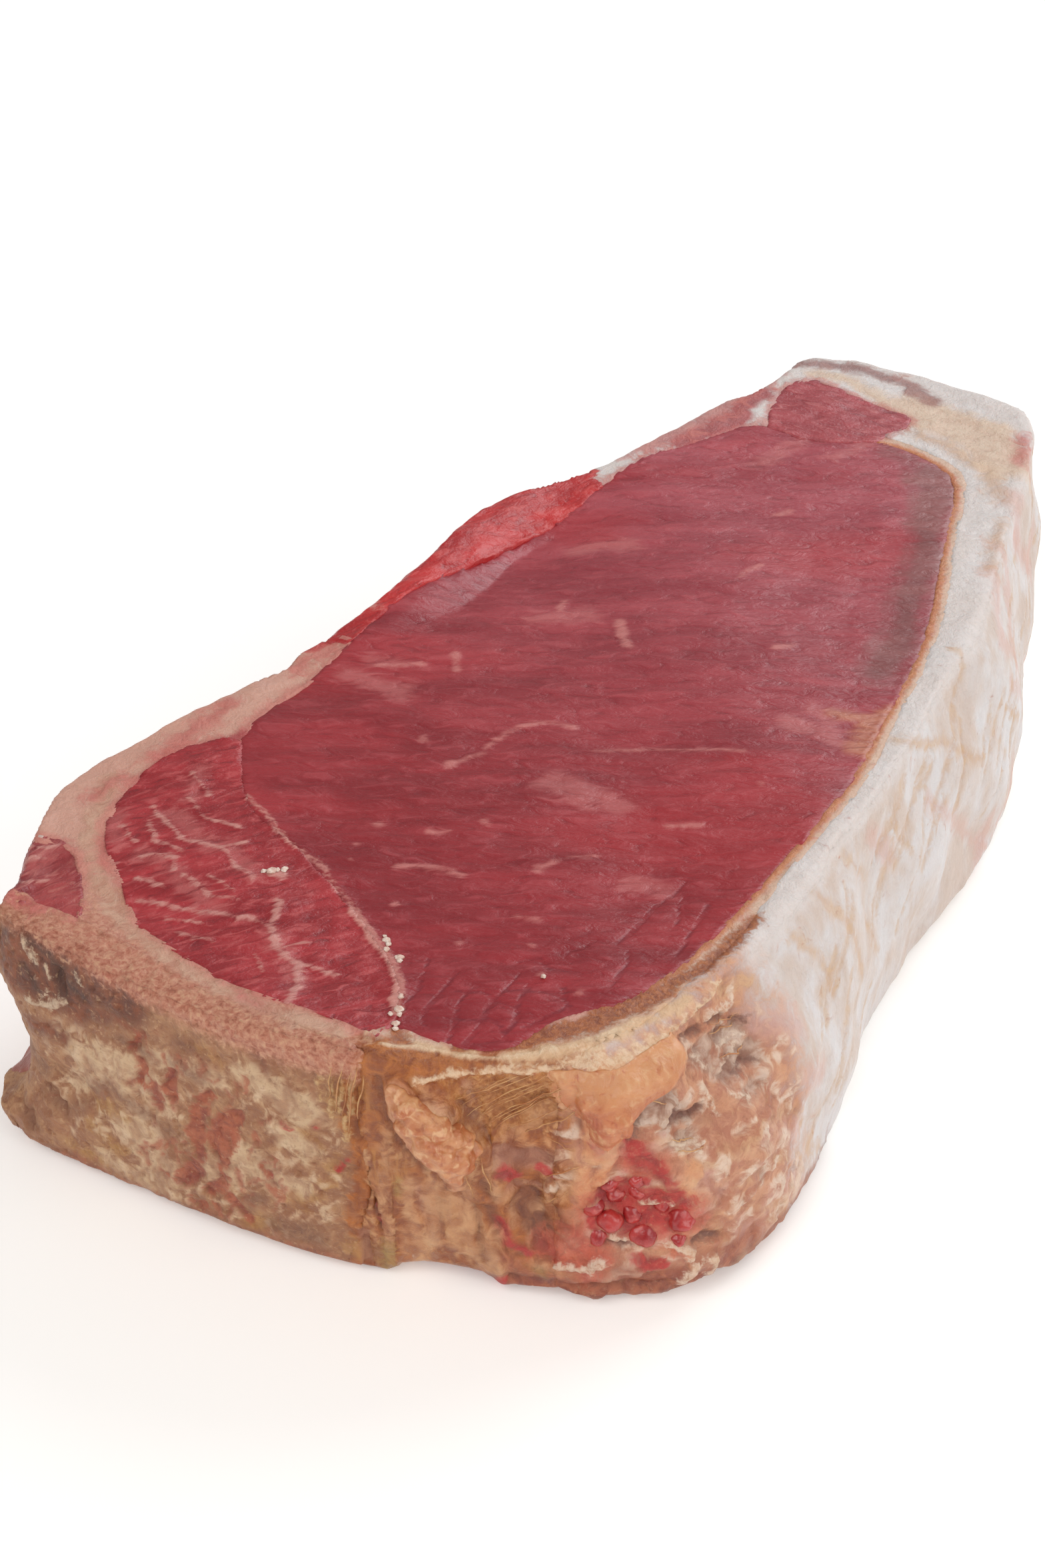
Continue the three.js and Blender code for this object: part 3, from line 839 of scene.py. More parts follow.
# %% Strokes on the ligament
SIDE.update({
    "string": [
        (1.3, (82, 24), (82, 14), (84, 5)), (2.6, (90, 20), (91, 10)), (1.8, (86.5, 24), (86, 10)),
        (1.6, (95.5, 14), (96, 6)), (0.5, (78.5, 36), (77.5, 20), (77, 8)),
        (0.6, (84, 47), (87, 43), (89.5, 38), (93, 35)), (0.6, (92, 45.5), (95, 45)),
        (0.9, (102, 39), (107, 41)), (0.6, (94, 33.5), (97, 34.5), (103, 37)),
        (0.5, (103, 19), (106.5, 22), (108.5, 27), (108, 33)), (0.9, (103, 9), (108, 7.5)),
        (0.5, (91, 30), (92, 22)), (0.4, (95, 30), (96.5, 22)), (0.3, (100, 24), (105, 21)),
        (0.4, (89, 24), (89.5, 12)), (0.4, (93, 14), (94, 6)), (0.3, (98, 22), (99, 16)),
        (0.4, (80, 12), (80.5, 6)), (0.3, (74, 30), (75, 22)), (0.35, (97, 36), (102, 33)),
        (0.3, (104, 35), (106, 31)),
    ],
    "gold": [
        (3.2, (96, 46), (105, 46)), (3.5, (95, 38), (103, 42)), (2.2, (90, 47), (93, 42)),
        (1.2, (81, 28), (80, 20)), (1.2, (88, 20), (90, 12)), (1.0, (76, 30), (77, 24)),
        (1.2, (99, 8), (103, 7)), (1.2, (74, 46), (76, 40)),
    ],
    "lump": [
        (2.6, (81, 44), (83, 38), (85, 33)), (2.8, (86, 42), (88, 35), (88, 32)),
        (1.4, (88, 29), (90, 25)),
    ],
    "rust": [
        (0.7, (73.5, 47), (73.3, 40), (71.5, 33)), (0.4, (77.3, 46), (78.5, 39), (80.5, 33), (85, 27.5)),
        (2.6, (101, 20), (104, 14)), (0.9, (106, 20), (107.5, 17)), (0.6, (90.5, 43), (93, 37), (95, 34)),
        (0.8, (95, 20), (97, 13)), (0.5, (93, 20), (94, 8)), (0.5, (75, 20), (76, 12)),
        (1.0, (99, 4), (109, 4.5)), (0.4, (87.5, 20), (87.3, 12)), (0.4, (108.5, 47), (110, 38)),
        (0.5, (94, 27), (96, 22)),
    ],
    "lip": [
        (0.5, (84, 47.6), (92, 48.9), (100, 49.2), (108, 49.6), (118, 49.8), (129, 49.4)),
        (0.35, (129, 49.4), (142, 49)),
    ],
    "mauve": [
        (2.0, (97, 31), (104, 30)), (1.0, (99, 24), (103, 23)), (1.4, (72, 10), (73, 4)),
        (0.9, (92, 46), (93, 43)), (0.8, (84, 22), (85, 17)),
    ],
    "moss": [(1.6, (77, 8), (76, 2)), (0.6, (80.3, 24), (80, 21)), (0.8, (103.5, 8), (104, 5))],
})
print(len(SIDE["string"]), "cream strings")

# %% [markdown]
# Hard white fat wraps the right side. At the near corner it is torn too: a peach flap, two pockets with
# grey membranes, a red spot of lobules and a hooked cream fold. Further back it is smooth and waxy, with
# tan and peach streaks that run down towards the far end.

# %% Strokes on the back fat
SIDE.update({
    "peach": [
        (3.2, (108, 45.5), (113, 43)), (2.4, (112, 48), (126, 46)), (2.3, (112, 42), (112.5, 33)),
        (1.2, (114, 31), (112, 26)), (1.6, (122, 24), (124, 27)), (1.6, (110, 29), (111, 22)),
    ],
    "red": [
        (0.5, (115.5, 41), (117, 33), (118.5, 29)), (0.8, (117.5, 34), (119.5, 30), (121, 26), (123, 21)),
        (2.2, (113.5, 22), (120, 22)), (2.2, (113, 18), (121, 18)), (1.2, (117, 11), (118.5, 9)),
        (0.5, (112, 24), (112, 18)), (1.3, (115, 26), (118, 25)), (0.6, (111.5, 35), (112.5, 34)),
        (0.6, (51, 48.8), (51.5, 47.5)), (0.5, (69.5, 27), (68, 24.5)), (0.35, (59, 32), (60, 31)),
        (0.3, (65, 32.5)), (0.35, (56, 18.5)), (1.1, (97.3, 28), (99, 26)),
        (0.8, (103, 28.5), (106, 26.5)), (0.8, (96.5, 17), (98, 13), (101, 11.3)),
        (0.9, (97, 3.5), (97, 1)), (0.4, (75.5, 17), (76, 13)),
    ],
    "flush": [
        (4.5, (114, 20), (121, 18)), (2.5, (119, 28), (117, 33)), (2.0, (109, 16), (112, 12)),
        (2.0, (104, 12), (110, 8)),
    ],
    "orange": [
        (1.9, (106, 14), (110.5, 11.5)), (0.8, (112, 36), (112.5, 33)), (1.1, (121, 11.5), (122.5, 11)),
    ],
    "grey": [
        (2.4, (119, 42), (122, 39)), (1.6, (121, 37), (126, 36)), (1.7, (134, 43), (142, 41)),
        (1.9, (136, 38), (143, 37)), (1.0, (121.5, 32.5), (126, 32.5)), (1.0, (136, 34), (141, 33)),
        (1.2, (130, 44), (134, 40)),
    ],
    "hollow": [
        (1.1, (121.8, 38), (124, 36.5), (127.5, 36)), (0.4, (136, 46), (140, 45)),
        (0.4, (142, 43), (145, 41.3)), (0.35, (117, 42), (117, 34)), (0.4, (137, 36.5), (143, 35.5)),
        (0.8, (124, 13), (127, 12)), (0.8, (109, 5), (120, 4.5)), (0.6, (113, 14.5), (116, 14)),
        (0.4, (128, 47), (134, 46)),
    ],
    "loop": [
        (0.4, (121, 34.3), (123, 32), (127, 31.3)), (0.35, (122, 31), (126, 30)),
        (0.4, (130, 40), (131, 34)), (0.5, (120, 13), (123, 11.6), (122.5, 9.8)),
        (0.7, (125, 8.5), (126.3, 4)), (0.6, (107, 9.3), (111, 9.3), (112, 11.5)),
        (0.7, (123, 8), (122, 4)), (0.25, (136, 41), (143, 40)), (0.25, (135, 39), (142, 38.5)),
        (0.3, (119.5, 21.7), (121.5, 20.5)), (0.35, (130, 44), (133, 41)), (0.35, (136, 47), (143, 45)),
        (0.3, (134, 36), (137, 33)), (0.3, (114, 16), (116, 15)),
    ],
    "tan": [
        (0.7, (130, 28.5), (138, 29), (146, 25), (152, 17)),
        (0.5, (131, 22), (138, 21), (146, 15), (150, 11)), (0.7, (133, 15), (140, 9), (145, 3)),
        (0.9, (172, 48), (176, 42), (180, 34), (185, 22)), (0.7, (162, 46), (167, 40), (170, 31)),
        (0.9, (154, 10), (160, 4)), (0.9, (218, 49), (229, 43), (239, 34), (247, 28)),
        (0.6, (126, 20), (127, 14)), (0.8, (128, 12), (131, 6)), (0.6, (190, 30), (197, 18)),
        (0.6, (205, 40), (212, 30)), (0.5, (262, 30), (272, 20)), (0.8, (186, 46), (192, 38)),
        (0.7, (146, 47), (150, 44)), (0.6, (140, 48), (148, 46)), (0.7, (125, 28), (129, 27)),
    ],
    "rose": [
        (1.2, (222, 34), (230, 25), (240, 16), (248, 8), (253, 3)), (1.6, (137, 27), (150, 18)),
        (2.4, (152, 28), (160, 22)), (2.4, (146, 40), (154, 36)), (2, (196, 44), (204, 34)),
        (2.4, (138, 12), (146, 10)), (2, (268, 40), (280, 30)), (1.8, (126, 27), (128, 22)),
        (2.5, (300, 44), (312, 30)), (2.0, (132, 12), (136, 6)),
    ],
})
SIDE.update({
    "bone_smears": flecks(130, (1, 3), (70, 46), 4.0, 0.5, 12, 35, 202),
    "bone_flecks": flecks(120, (12, 4), (69, 37), 3.4, 0.4, 15, 30, 201),
    "bone_blood": flecks(60, (29, 4), (58, 40), 3.0, 0.4, 18, 25, 203),
    "amber": flecks(80, (71, 3), (107, 34), 7.0, 0.5, 5, 14, 206),
    "pale_strings": flecks(50, (71, 3), (107, 32), 6.0, 0.3, 5, 16, 207),
    "gold_fibres": flecks(70, (91, 38), (108, 47), 6.0, 0.25, 52, 7, 208),
    "fat_stains": flecks(90, (108, 4), (148, 46), 3.6, 0.7, 60, 50, 205),
    "fat_flecks": flecks(110, (106, 5), (150, 47), 3.0, 0.6, 60, 50, 204),
    "wall_tan": flecks(110, (150, 3), (640, 47), 16, 0.6, 58, 18, 211),
    "wall_rose": flecks(70, (250, 3), (640, 47), 12, 2.2, 58, 30, 212),
    "wall_red": flecks(34, (470, 3), (640, 47), 9, 1.0, 60, 30, 213),
    "stain": [
        (2.8, (102, 3), (116, 5), (126, 7), (134, 7)), (1.6, (98, 9), (102, 5)),
        (1.4, (112, 9), (118, 8.5)),
    ],
})
print(len(SIDE["tan"]), "tan streaks in the fat")

# %% [markdown]
# The upper face of the bone, the ligament and the fat has marks too: the membrane's brown and yellow bands,
# the line where the fat meets the meat, and blushes of red where meat laps over fat.

# %% Strokes on the top edge: (half width, (x, y), (x, y), ...)
TOP = {
    "top_brown": [
        (2.0, (31, -109), (37, -104), (41.5, -99), (45.5, -92), (48.5, -84)),
        (1.5, (48.5, -84), (51, -75), (53, -60)), (0.9, (27, -112), (32, -109)),
        (1.2, (16, -113), (20, -116)),
    ],
    "top_yellow": [
        (1.4, (36, -109.5), (42, -105), (46.5, -99.5), (50, -92), (53, -84)),
        (1.0, (22, -115), (30, -112)),
    ],
    "top_skin": [
        (0.4, (48.5, -94), (42, -104), (38, -108), (33, -112), (28, -114)), (0.5, (26, -114), (18, -118)),
        (0.5, (12, -112), (16, -119)),
    ],
    "top_rim": [(2.0, (-26, 111), (-20, 115.5), (-11, 117.5), (-3, 117), (6, 113))],
    "lapped": [
        (3.0, (-31, 70), (-28, 79), (-26, 86)), (2.6, (-27, 88), (-26, 96)),
        (1.4, (-49, -62), (-53, -72)), (1.4, (-56, -80), (-55, -88)),
    ],
    "top_cream": [(2.0, (-20, 110), (-12, 111), (0, 106)), (6.5, (4, 107), (22, 105), (29, 98))],
    "top_gold": [(1.6, (2, 99), (16, 97.5), (28, 92.5), (34, 84)), (1.0, (38, 76), (43, 58))],
    "blush": [
        (3.4, (-36, 64), (-33, 76), (-30, 90), (-29, 106)), (1.6, (-62, -115), (-56, -119), (-50, -120)),
        (2.0, (-57, -55), (-58, -75)), (1.5, (-60, -82), (-62, -90)), (1.5, (-50, -25), (-53, -40)),
        (1.2, (-38, 58), (-36, 66)), (0.8, (-48, -104), (-52, -99)), (2.4, (-31, 90), (-28, 103)),
        (0.6, (-8, -120), (-2, -121)), (2.0, (29, 108), (32, 100)),
    ],
    "band": [
        (2.0, (-62, -84), (-58, -93), (-52, -103), (-43, -110), (-35, -115), (-20, -119)),
        (1.8, (-20, -119), (0, -121), (10, -119)),
    ],
}
print(len(SIDE), "kinds of strokes on the side,", len(TOP), "on the top edge")

# %% [markdown]
# What a stroke does to the relief is given next: how far it stands out or sinks in, and over which
# distance.

# %% Relief of the side
BONE_END = 70
LIGAMENT_END = 108
TORN_END = 150
LEFT_SIDE_START = 345
FOOT_HEIGHT = [
    # (along, height of the dark foot)
    (0, 3.2), (60, 3.4), (75, 2.2), (97, 4.6), (110, 6.4), (130, 6.2), (160, 3.0),
]
CRUMBLY_START = [
    # (along, height where the crumbly top of the bone starts)
    (8, 49.5), (24, 47.8), (40, 46.2), (70, 45.4),
]
SIDE_RELIEF = {
    # name: (outwards, soft edge)
    "marrow": (-0.45, 0.5), "chalk": (0.4, 0.5), "cavity": (-1.3, 1.2), "cream_fibre": (0.35, 0.4),
    "bone_cream": (0.15, 1.2), "string": (0.4, 0.7), "lump": (1.3, 0.8), "rust": (-0.8, 0.8),
    "mauve": (-0.4, 0.8), "peach": (0.9, 0.7), "loop": (0.8, 0.5), "hollow": (-1.2, 0.8),
    "grey": (-0.55, 0.9), "tan": (-0.12, 1.4), "orange": (0.3, 0.8), "red": (0.15, 0.6),
    "lip": (0.45, 0.5), "bone_smears": (-0.15, 0.5), "bone_flecks": (0.15, 0.5),
    "bone_blood": (-0.2, 0.4), "amber": (-0.12, 0.7), "pale_strings": (0.15, 0.5),
    "gold_fibres": (0.2, 0.3), "fat_stains": (-0.4, 0.7), "fat_flecks": (0.4, 0.6),
    "wall_tan": (-0.3, 0.9), "wall_red": (-0.2, 0.8),
}


def wandering_places(places, reach, size, seed):
    """Points shifted by noise in all three directions."""
    return places + reach * np.column_stack([swell(places, size, seed + axis * 50) for axis in range(3)])


def ridges(across, run, deep, seed, octaves):
    """Sharp ridges, short in the first direction and long in the second."""
    return 1 - 2 * np.abs(swell(np.column_stack([across, run, deep]), 1, seed, octaves))


def side_fields(places, along, out, spots):
    """How deep each point lies in every stroke and zone of the side."""
    up = places[:, 2]
    near = out + 4
    fields = {name: np.minimum(laid(spots, strokes), near) for name, strokes in SIDE.items()}
    stray = wandering(np.column_stack([along, up]), 2.0, 7, 63)[:, 0]
    fields["bone_zone"] = np.minimum(np.minimum(stray + 10, BONE_END + 0.5 - stray), near)
    fields["ligament_zone"] = np.minimum(np.minimum(stray - BONE_END + 0.5, LIGAMENT_END - stray), near)
    torn_end = 0.5 * (TORN_END - stray) + 3 * swell(places, 12, 86, 2)
    fields["torn"] = np.minimum(np.minimum(stray - LIGAMENT_END + 8, torn_end), near)
    foot = np.interp(along, *zip(*FOOT_HEIGHT))
    fields["foot"] = np.minimum(np.minimum(foot - up + 1.4 * swell(places, 6, 64, 2), 165 - along), near)
    start = np.interp(along, *zip(*CRUMBLY_START))
    crumbly = np.minimum(up - start + 1.0 * swell(places, 4, 65, 2), BONE_END + 3 - along)
    fields["crumbly"] = np.minimum(crumbly, along + 9)
    return fields


def bone_relief(places, crumbly):
    """Open pores and saw smears."""
    pores, pore_size = lobules(places, 1.4, 66)
    open_pore = ramp(pores, 0.45, 0.12) * (pore_size > 0.5)
    return (0.22 * swell(places, 3.5, 67, 3) + 0.2 * swell(places, 1.3, 68, 2)
            - 0.3 * open_pore + 0.3 * swell(places, 1.5, 69, 2) * ramp(crumbly, -1, 1))


def ligament_relief(places, along, out, spots, gold):
    """Upright strings, and golden fibres that fan out in the hollow."""
    up = places[:, 2]
    strings = ridges(spots[:, 0] / 1.1, up / 8, out / 5, 71, 3)
    fan = ridges((along * 0.62 + up * 0.78) / 0.8, (along - up) / 12, out / 5, 72, 2)
    golden = ramp(gold, -0.5, 1)
    return (0.05 * (strings - 0.4) * (1 - golden) + 0.2 * (fan - 0.4) * golden
            + 0.55 * swell(places * [1, 1, 0.5], 4.2, 73, 3))


def fat_relief(places, out, spots, torn):
    """Waxy lumps, with folds and lobes where the fat is torn."""
    folds = ridges((spots[:, 0] + spots[:, 1]) / 9, (spots[:, 0] - spots[:, 1]) / 3.4, out / 5, 74, 3)
    lobe = lobules(wandering_places(places, 1.0, 3, 75), 4.2, 76)[0]
    return (0.35 * swell(places, 5, 77, 3) * (0.5 + torn) + 0.38 * torn * (folds - 0.4)
            + 0.6 * (0.25 + torn) * (0.5 - lobe) + 0.15 * swell(places, 1.6, 78, 2) * (0.3 + torn))


def side_relief(places, along, out):
    """The masks of everything on the side, and how far each point moves outwards."""
    up = places[:, 2]
    spots = wandering(wandering(np.column_stack([along, up]), 0.9, 3.6, 61), 0.4, 1.2, 62)
    fields = side_fields(places, along, out, spots)
    bone = ramp(fields["bone_zone"], -1.5, 1.5)
    ligament = ramp(fields["ligament_zone"], -1.5, 1.5)
    torn = ramp(fields["torn"], -8, 8)
    fat = 1 - np.maximum(bone, ligament)
    soft_relief = (ligament * ligament_relief(places, along, out, spots, fields["gold"])
                   + fat * fat_relief(places, out, spots, torn))
    fine = bone * bone_relief(places, fields["crumbly"]) + (1 - bone) * soft_relief
    slant = np.column_stack([(along + up) / 22, (along - up) / 8, out / 9])
    wide = 0.5 * swell(places, 11, 79, 2) + fat * 0.6 * swell(slant, 1, 80, 3)
    form = sum(reach * ramp(fields[name], -soft, soft) for name, (reach, soft) in SIDE_RELIEF.items())
    fields["ridge"] = fine + 0.35 * form
    return fields, wide + form + fine - 0.25


def dress_side(piece, top_relief):
    """Settles a piece of the side, lays relief and masks on it, and returns its points."""
    places, along, out, outward = settle(points(piece), normals(piece))
    fields, push = side_relief(places, along, out)
    places[:, :2] += (ramp(out, -3.2, -0.8) * push)[:, None] * outward
    edge = ramp(places[:, 2], 46, 48.5)
    places[:, 2] += edge * top_relief(places)
    plan = wandering(places[:, :2], 0.9, 3, 81)
    top = places[:, 2] - 46.5
    for name, strokes in TOP.items():
        fields[name] = np.minimum(laid(plan, strokes), top)
    meat = gap_to(MUSCLE_EDGES, places, places[:, 2] > 42)
    left_side = (along > LEFT_SIDE_START) | (along < 8)
    rib = gap_to(RIB_EDGE, places, out > -3)
    fields["rib_lap"] = np.minimum(0.8 + lap(places) - rib, out + 3)
    fields["meat_edge"] = np.minimum(np.where(left_side, 1.6, 0.7) - meat, top)
    beside_fat = np.minimum(along - LIGAMENT_END - 6, LEFT_SIDE_START - along)
    fields["line"] = np.minimum(np.minimum(1.1 - meat, top), beside_fat)
    fields["top"] = top - 1.2
    raised = ramp(fields["top_skin"], -0.5, 0.5)
    sunken = ramp(fields["top_brown"], -1, 1)
    places[:, 2] += 0.3 * edge * (raised - sunken)
    put_back(piece, places)
    for name, values in fields.items():
        mask(piece, name, values)
    return piece


print("side tools ready")


# %% [markdown]
# The colours are laid in the same order on every piece of the side, from wide stains to small spots.
# Crevices end darker with painted shade, and ridges lighter with a painted highlight.

# %% Coats of the side
SIDE_COATS = [
    # mask, two tones, noise, ragged, soft, strength
    ("torn", (170, 94, 54), (204, 144, 104), "mid", 3.0, 4.0, 0.9),
    ("bone_zone", (145, 93, 60), (178, 133, 96), "mid", 1.2, 0.8, 1.0),
    ("ligament_zone", (134, 64, 14), (178, 104, 42), "mid", 1.2, 1.0, 1.0),
    ("rose", (198, 150, 138), (208, 168, 154), "mid", 1.6, 1.8, 0.6),
    ("wall_rose", (200, 148, 134), (208, 164, 150), "mid", 1.8, 2.0, 0.55),
    ("wall_tan", (184, 136, 96), (202, 166, 128), "mid", 1.2, 0.9, 0.55),
    ("wall_red", (160, 62, 58), (186, 100, 90), "mid", 1.6, 1.0, 0.7),
    ("tan", (182, 130, 88), (202, 164, 124), "mid", 1.4, 1.3, 0.6),
    ("bone_cream", (184, 145, 112), (208, 178, 143), "mid", 1.8, 1.2, 0.8),
    ("ochre", (152, 98, 46), (176, 130, 74), "mid", 1.6, 1.2, 0.75),
    ("bone_smears", (126, 74, 48), (156, 100, 70), "mid", 1.0, 0.6, 0.6),
    ("bone_flecks", (196, 156, 122), (212, 182, 150), "mid", 0.9, 0.5, 0.7),
    ("bone_blood", (136, 56, 36), (170, 94, 66), "mid", 0.9, 0.5, 0.8),
    ("amber", (122, 56, 16), (150, 80, 34), "mid", 1.0, 0.7, 0.7),
    ("pale_strings", (190, 136, 88), (212, 168, 122), "mid", 0.8, 0.6, 0.6),
    ("fat_stains", (170, 104, 74), (196, 138, 104), "mid", 1.2, 0.8, 0.7),
    ("fat_flecks", (204, 168, 142), (222, 200, 182), "mid", 1.0, 0.6, 0.8),
    ("shadow", (104, 64, 46), (138, 94, 70), "mid", 1.6, 1.4, 0.65),
    ("dark", (82, 34, 18), (128, 68, 42), "mid", 2.6, 2.0, 0.92),
    ("marrow", (126, 44, 28), (166, 88, 60), "mid", 1.2, 0.6, 0.92),
    ("black", (48, 26, 20), (80, 48, 36), "mid", 1.6, 0.8, 0.85),
    ("foot", (112, 52, 36), (158, 92, 66), "mid", 1.8, 1.6, 0.8),
    ("gold", (140, 74, 26), (180, 116, 54), "string", 1.4, 1.2, 0.85),
    ("gold_fibres", (170, 106, 54), (196, 138, 82), "fine", 0.5, 0.4, 0.85),
    ("lump", (188, 116, 78), (206, 146, 108), "mid", 0.8, 0.7, 0.9),
    ("peach", (200, 124, 80), (212, 150, 106), "mid", 1.0, 0.8, 0.85),
    ("mauve", (144, 88, 66), (168, 116, 96), "mid", 1.0, 1.0, 0.7),
    ("grey", (148, 110, 88), (196, 170, 154), "mid", 1.4, 1.0, 0.8),
    ("rust", (98, 46, 26), (134, 76, 46), "mid", 0.9, 0.8, 0.85),
    # hollow: painted shade in the sunken pockets and hollows
    ("hollow", (92, 52, 42), (130, 86, 72), "fine", 0.8, 0.6, 0.9),
    ("moss", (140, 104, 48), (164, 132, 70), "mid", 1.2, 1.0, 0.75),
    ("stain", (132, 56, 38), (168, 96, 66), "mid", 2.0, 1.8, 0.8),
    ("orange", (160, 66, 40), (196, 104, 70), "mid", 1.2, 0.8, 0.85),
    ("flush", (160, 44, 34), (188, 86, 64), "mid", 2.0, 2.2, 0.85),
    ("red", (140, 18, 20), (178, 50, 44), "mid", 0.8, 0.6, 0.95),
    ("string", (180, 122, 80), (200, 150, 108), "mid", 1.0, 1.2, 0.7),
    ("cream_fibre", (184, 138, 84), (200, 164, 116), "fine", 0.6, 0.4, 0.8),
    ("loop", (202, 168, 142), (220, 198, 178), "fine", 0.6, 0.4, 0.85),
    ("chalk", (178, 148, 122), (204, 180, 154), "fine", 0.8, 0.5, 0.85),
    ("crumbly", (172, 100, 78), (198, 142, 116), "fine", 1.4, 1.6, 0.85),
    ("band", (182, 130, 108), (200, 160, 136), "mid", 1.0, 1.0, 0.85),
    ("top_gold", (172, 120, 76), (196, 150, 108), "mid", 1.6, 2.0, 0.6),
    ("top_cream", (204, 168, 140), (216, 188, 162), "mid", 1.4, 2.0, 0.8),
    ("top_rim", (122, 66, 62), (150, 96, 88), "mid", 1.4, 1.4, 0.8),
    ("meat_edge", (172, 74, 70), (198, 120, 108), "mid", 1.8, 1.2, 0.7),
    ("line", (186, 104, 58), (200, 130, 84), "fine", 0.5, 0.5, 0.85),
    ("lapped", (154, 48, 52), (178, 80, 80), "mid", 0.8, 1.2, 0.9),
    ("rib_lap", (166, 28, 30), (194, 58, 54), "mid", 1.4, 1.0, 0.95),
    ("blush", (172, 68, 64), (194, 110, 100), "mid", 2.4, 2.0, 0.75),
    ("top_yellow", (210, 168, 126), (220, 184, 146), "mid", 0.6, 0.9, 0.85),
    ("top_brown", (128, 58, 20), (168, 94, 44), "fine", 1.0, 0.8, 0.95),
    ("top_skin", (212, 174, 136), (226, 198, 166), "mid", 0.4, 0.5, 0.8),
    ("lip", (208, 166, 128), (224, 194, 162), "fine", 0.5, 0.4, 0.9),
]


def side_finish_for(name, dark, light, face, wet=0.12, rough=0.35, under=0.12):
    """A finish of its own base tones with all the coats of the side over it."""
    skin = Finish(name, wet=wet, rough=rough, under=under, under_colour=(1.0, 0.55, 0.42))
    noises = {
        "broad": skin.mottle(12, 4, (1, 1, 1.3), warp=0.7),
        "mid": skin.mottle(3.2, 6, warp=0.9, rough=0.62),
        "fine": skin.mottle(1.0, 6, warp=0.4, rough=0.62),
        "string": skin.mottle(2.4, 3, (0.8, 0.8, 2.6), warp=1.2),
    }
    colour = skin.blend(skin.span(noises["broad"], 0.34, 0.66), dark, light)
    colour = skin.blend(skin.span(noises["mid"], 0.52, 0.75, 0, 0.4), colour, face)
    colour = skin.coat(colour, "top", face, noises["mid"], 1.0, 1.0, 0.8)
    for stroke, one, other, noise, ragged, soft, strength in SIDE_COATS:
        tones = (tone(*one), tone(*other))
        colour = skin.coat(colour, stroke, tones, noises[noise], ragged, soft, strength)
    ligament_share = skin.span(skin.mask("ligament_zone"), -1, 1, 0, 0.25)
    torn_share = skin.span(skin.mask("torn"), -4, 8, 0.15, 0.6)
    rough_tissue = skin.combine("MAXIMUM", skin.span(skin.mask("bone_zone"), -1, 1),
                                skin.combine("MAXIMUM", ligament_share, torn_share))
    light_fleck = skin.combine("MULTIPLY", skin.span(noises["fine"], 0.54, 0.74, 0, 0.5), rough_tissue)
    dark_fleck = skin.combine("MULTIPLY", skin.span(noises["fine"], 0.46, 0.26, 0, 0.55), rough_tissue)
    colour = skin.blend(light_fleck, colour, tone(208, 168, 128))
    colour = skin.blend(dark_fleck, colour, tone(122, 68, 46))
    # Painted highlight on raised ridges and painted shade in sunken crevices, read from the relief mask.
    ridge = skin.mask("ridge")
    colour = skin.blend(skin.span(ridge, 0.16, 0.8, 0, 0.4), colour, tone(212, 176, 140))
    colour = skin.blend(skin.span(ridge, -0.1, -0.8, 0, 0.6), colour, tone(122, 70, 50))
    relief = skin.bump(noises["string"], 0.2, skin.bump(noises["mid"], 0.45, skin.bump(noises["fine"], 0.25)))
    return skin.finish(colour, skin.span(noises["mid"], 0.3, 0.7, 0.4, 0.66), relief)


print(len(SIDE_COATS), "coats")


# %% Shape and finish the sawn bone
def crumbly_top(places):
    """Small lumps and open pores on the bone's upper edge."""
    pores, pore_size = lobules(places, 1.5, 84)
    return 0.3 * swell(places, 2.2, 85, 3) - 0.2 * ramp(pores, 0.45, 0.1) * (pore_size > 0.6)


sawn_bone = dress_side(fine_skin("feather_bone", "sawn_bone", 0.42), crumbly_top)
sawn_bone_finish = side_finish_for(
    "sawn bone", dark=tone(146, 98, 72), light=tone(172, 132, 102),
    face=tone(194, 144, 120), wet=0.05, under=0.05)
hand_over(sawn_bone, "feather_bone", sawn_bone_finish)


# %% Shape and finish the ligament and the membrane that it becomes
def skin_top(places):
    """Slight swells on the membrane's upper edge."""
    return 0.2 * swell(places, 2.5, 88, 2)


ligament = dress_side(fine_skin("silverskin", "ligament_and_membrane", 0.57), skin_top)
ligament_finish = side_finish_for(
    "ligament", dark=tone(190, 140, 108), light=tone(208, 172, 146),
    face=tone(206, 172, 150), wet=0.35)
hand_over(ligament, "silverskin", ligament_finish)


# %% Shape and finish the back fat
def waxy_top(places):
    """The low lumps of cut fat."""
    return 0.35 * swell(places, 5, 90, 2) + 0.12 * swell(places, 1.8, 91, 2)


back_fat_rim = dress_side(fine_skin("back_fat", "back_fat_rim", 0.74), waxy_top)
back_fat_rim_finish = side_finish_for(
    "hard fat", dark=tone(200, 180, 168), light=tone(210, 204, 204),
    face=tone(214, 204, 200), wet=0.2, under=0.16)
hand_over(back_fat_rim, "back_fat", back_fat_rim_finish)

# %% [markdown]
# A softer, rosier fat edges the left side and fills the band between bone and side muscle. It blushes red
# where it meets the meat.

# %% Shape and finish the seam fat
seam_fat_edge = dress_side(fine_skin("seam_fat", "seam_fat_edge", 0.5), waxy_top)
seam_fat_edge_finish = side_finish_for(
    "pink fat", dark=tone(186, 130, 112), light=tone(200, 154, 134),
    face=tone(202, 152, 134), under=0.14)
hand_over(seam_fat_edge, "seam_fat", seam_fat_edge_finish)

# %% [markdown]
# ## Torn bits that stand free
#
# Four things at the near corner are more than relief: the peach flap that hangs over the pocket, the lobed
# lump beside the bone, the berry-like lobules in the red spot and the golden threads in the hollow. White
# crumbs of fat also lie on the meat along the seam. Each is modelled flat from a primitive, then laid
# against the side: a ray shot inwards at each place finds the surface that it lies on.

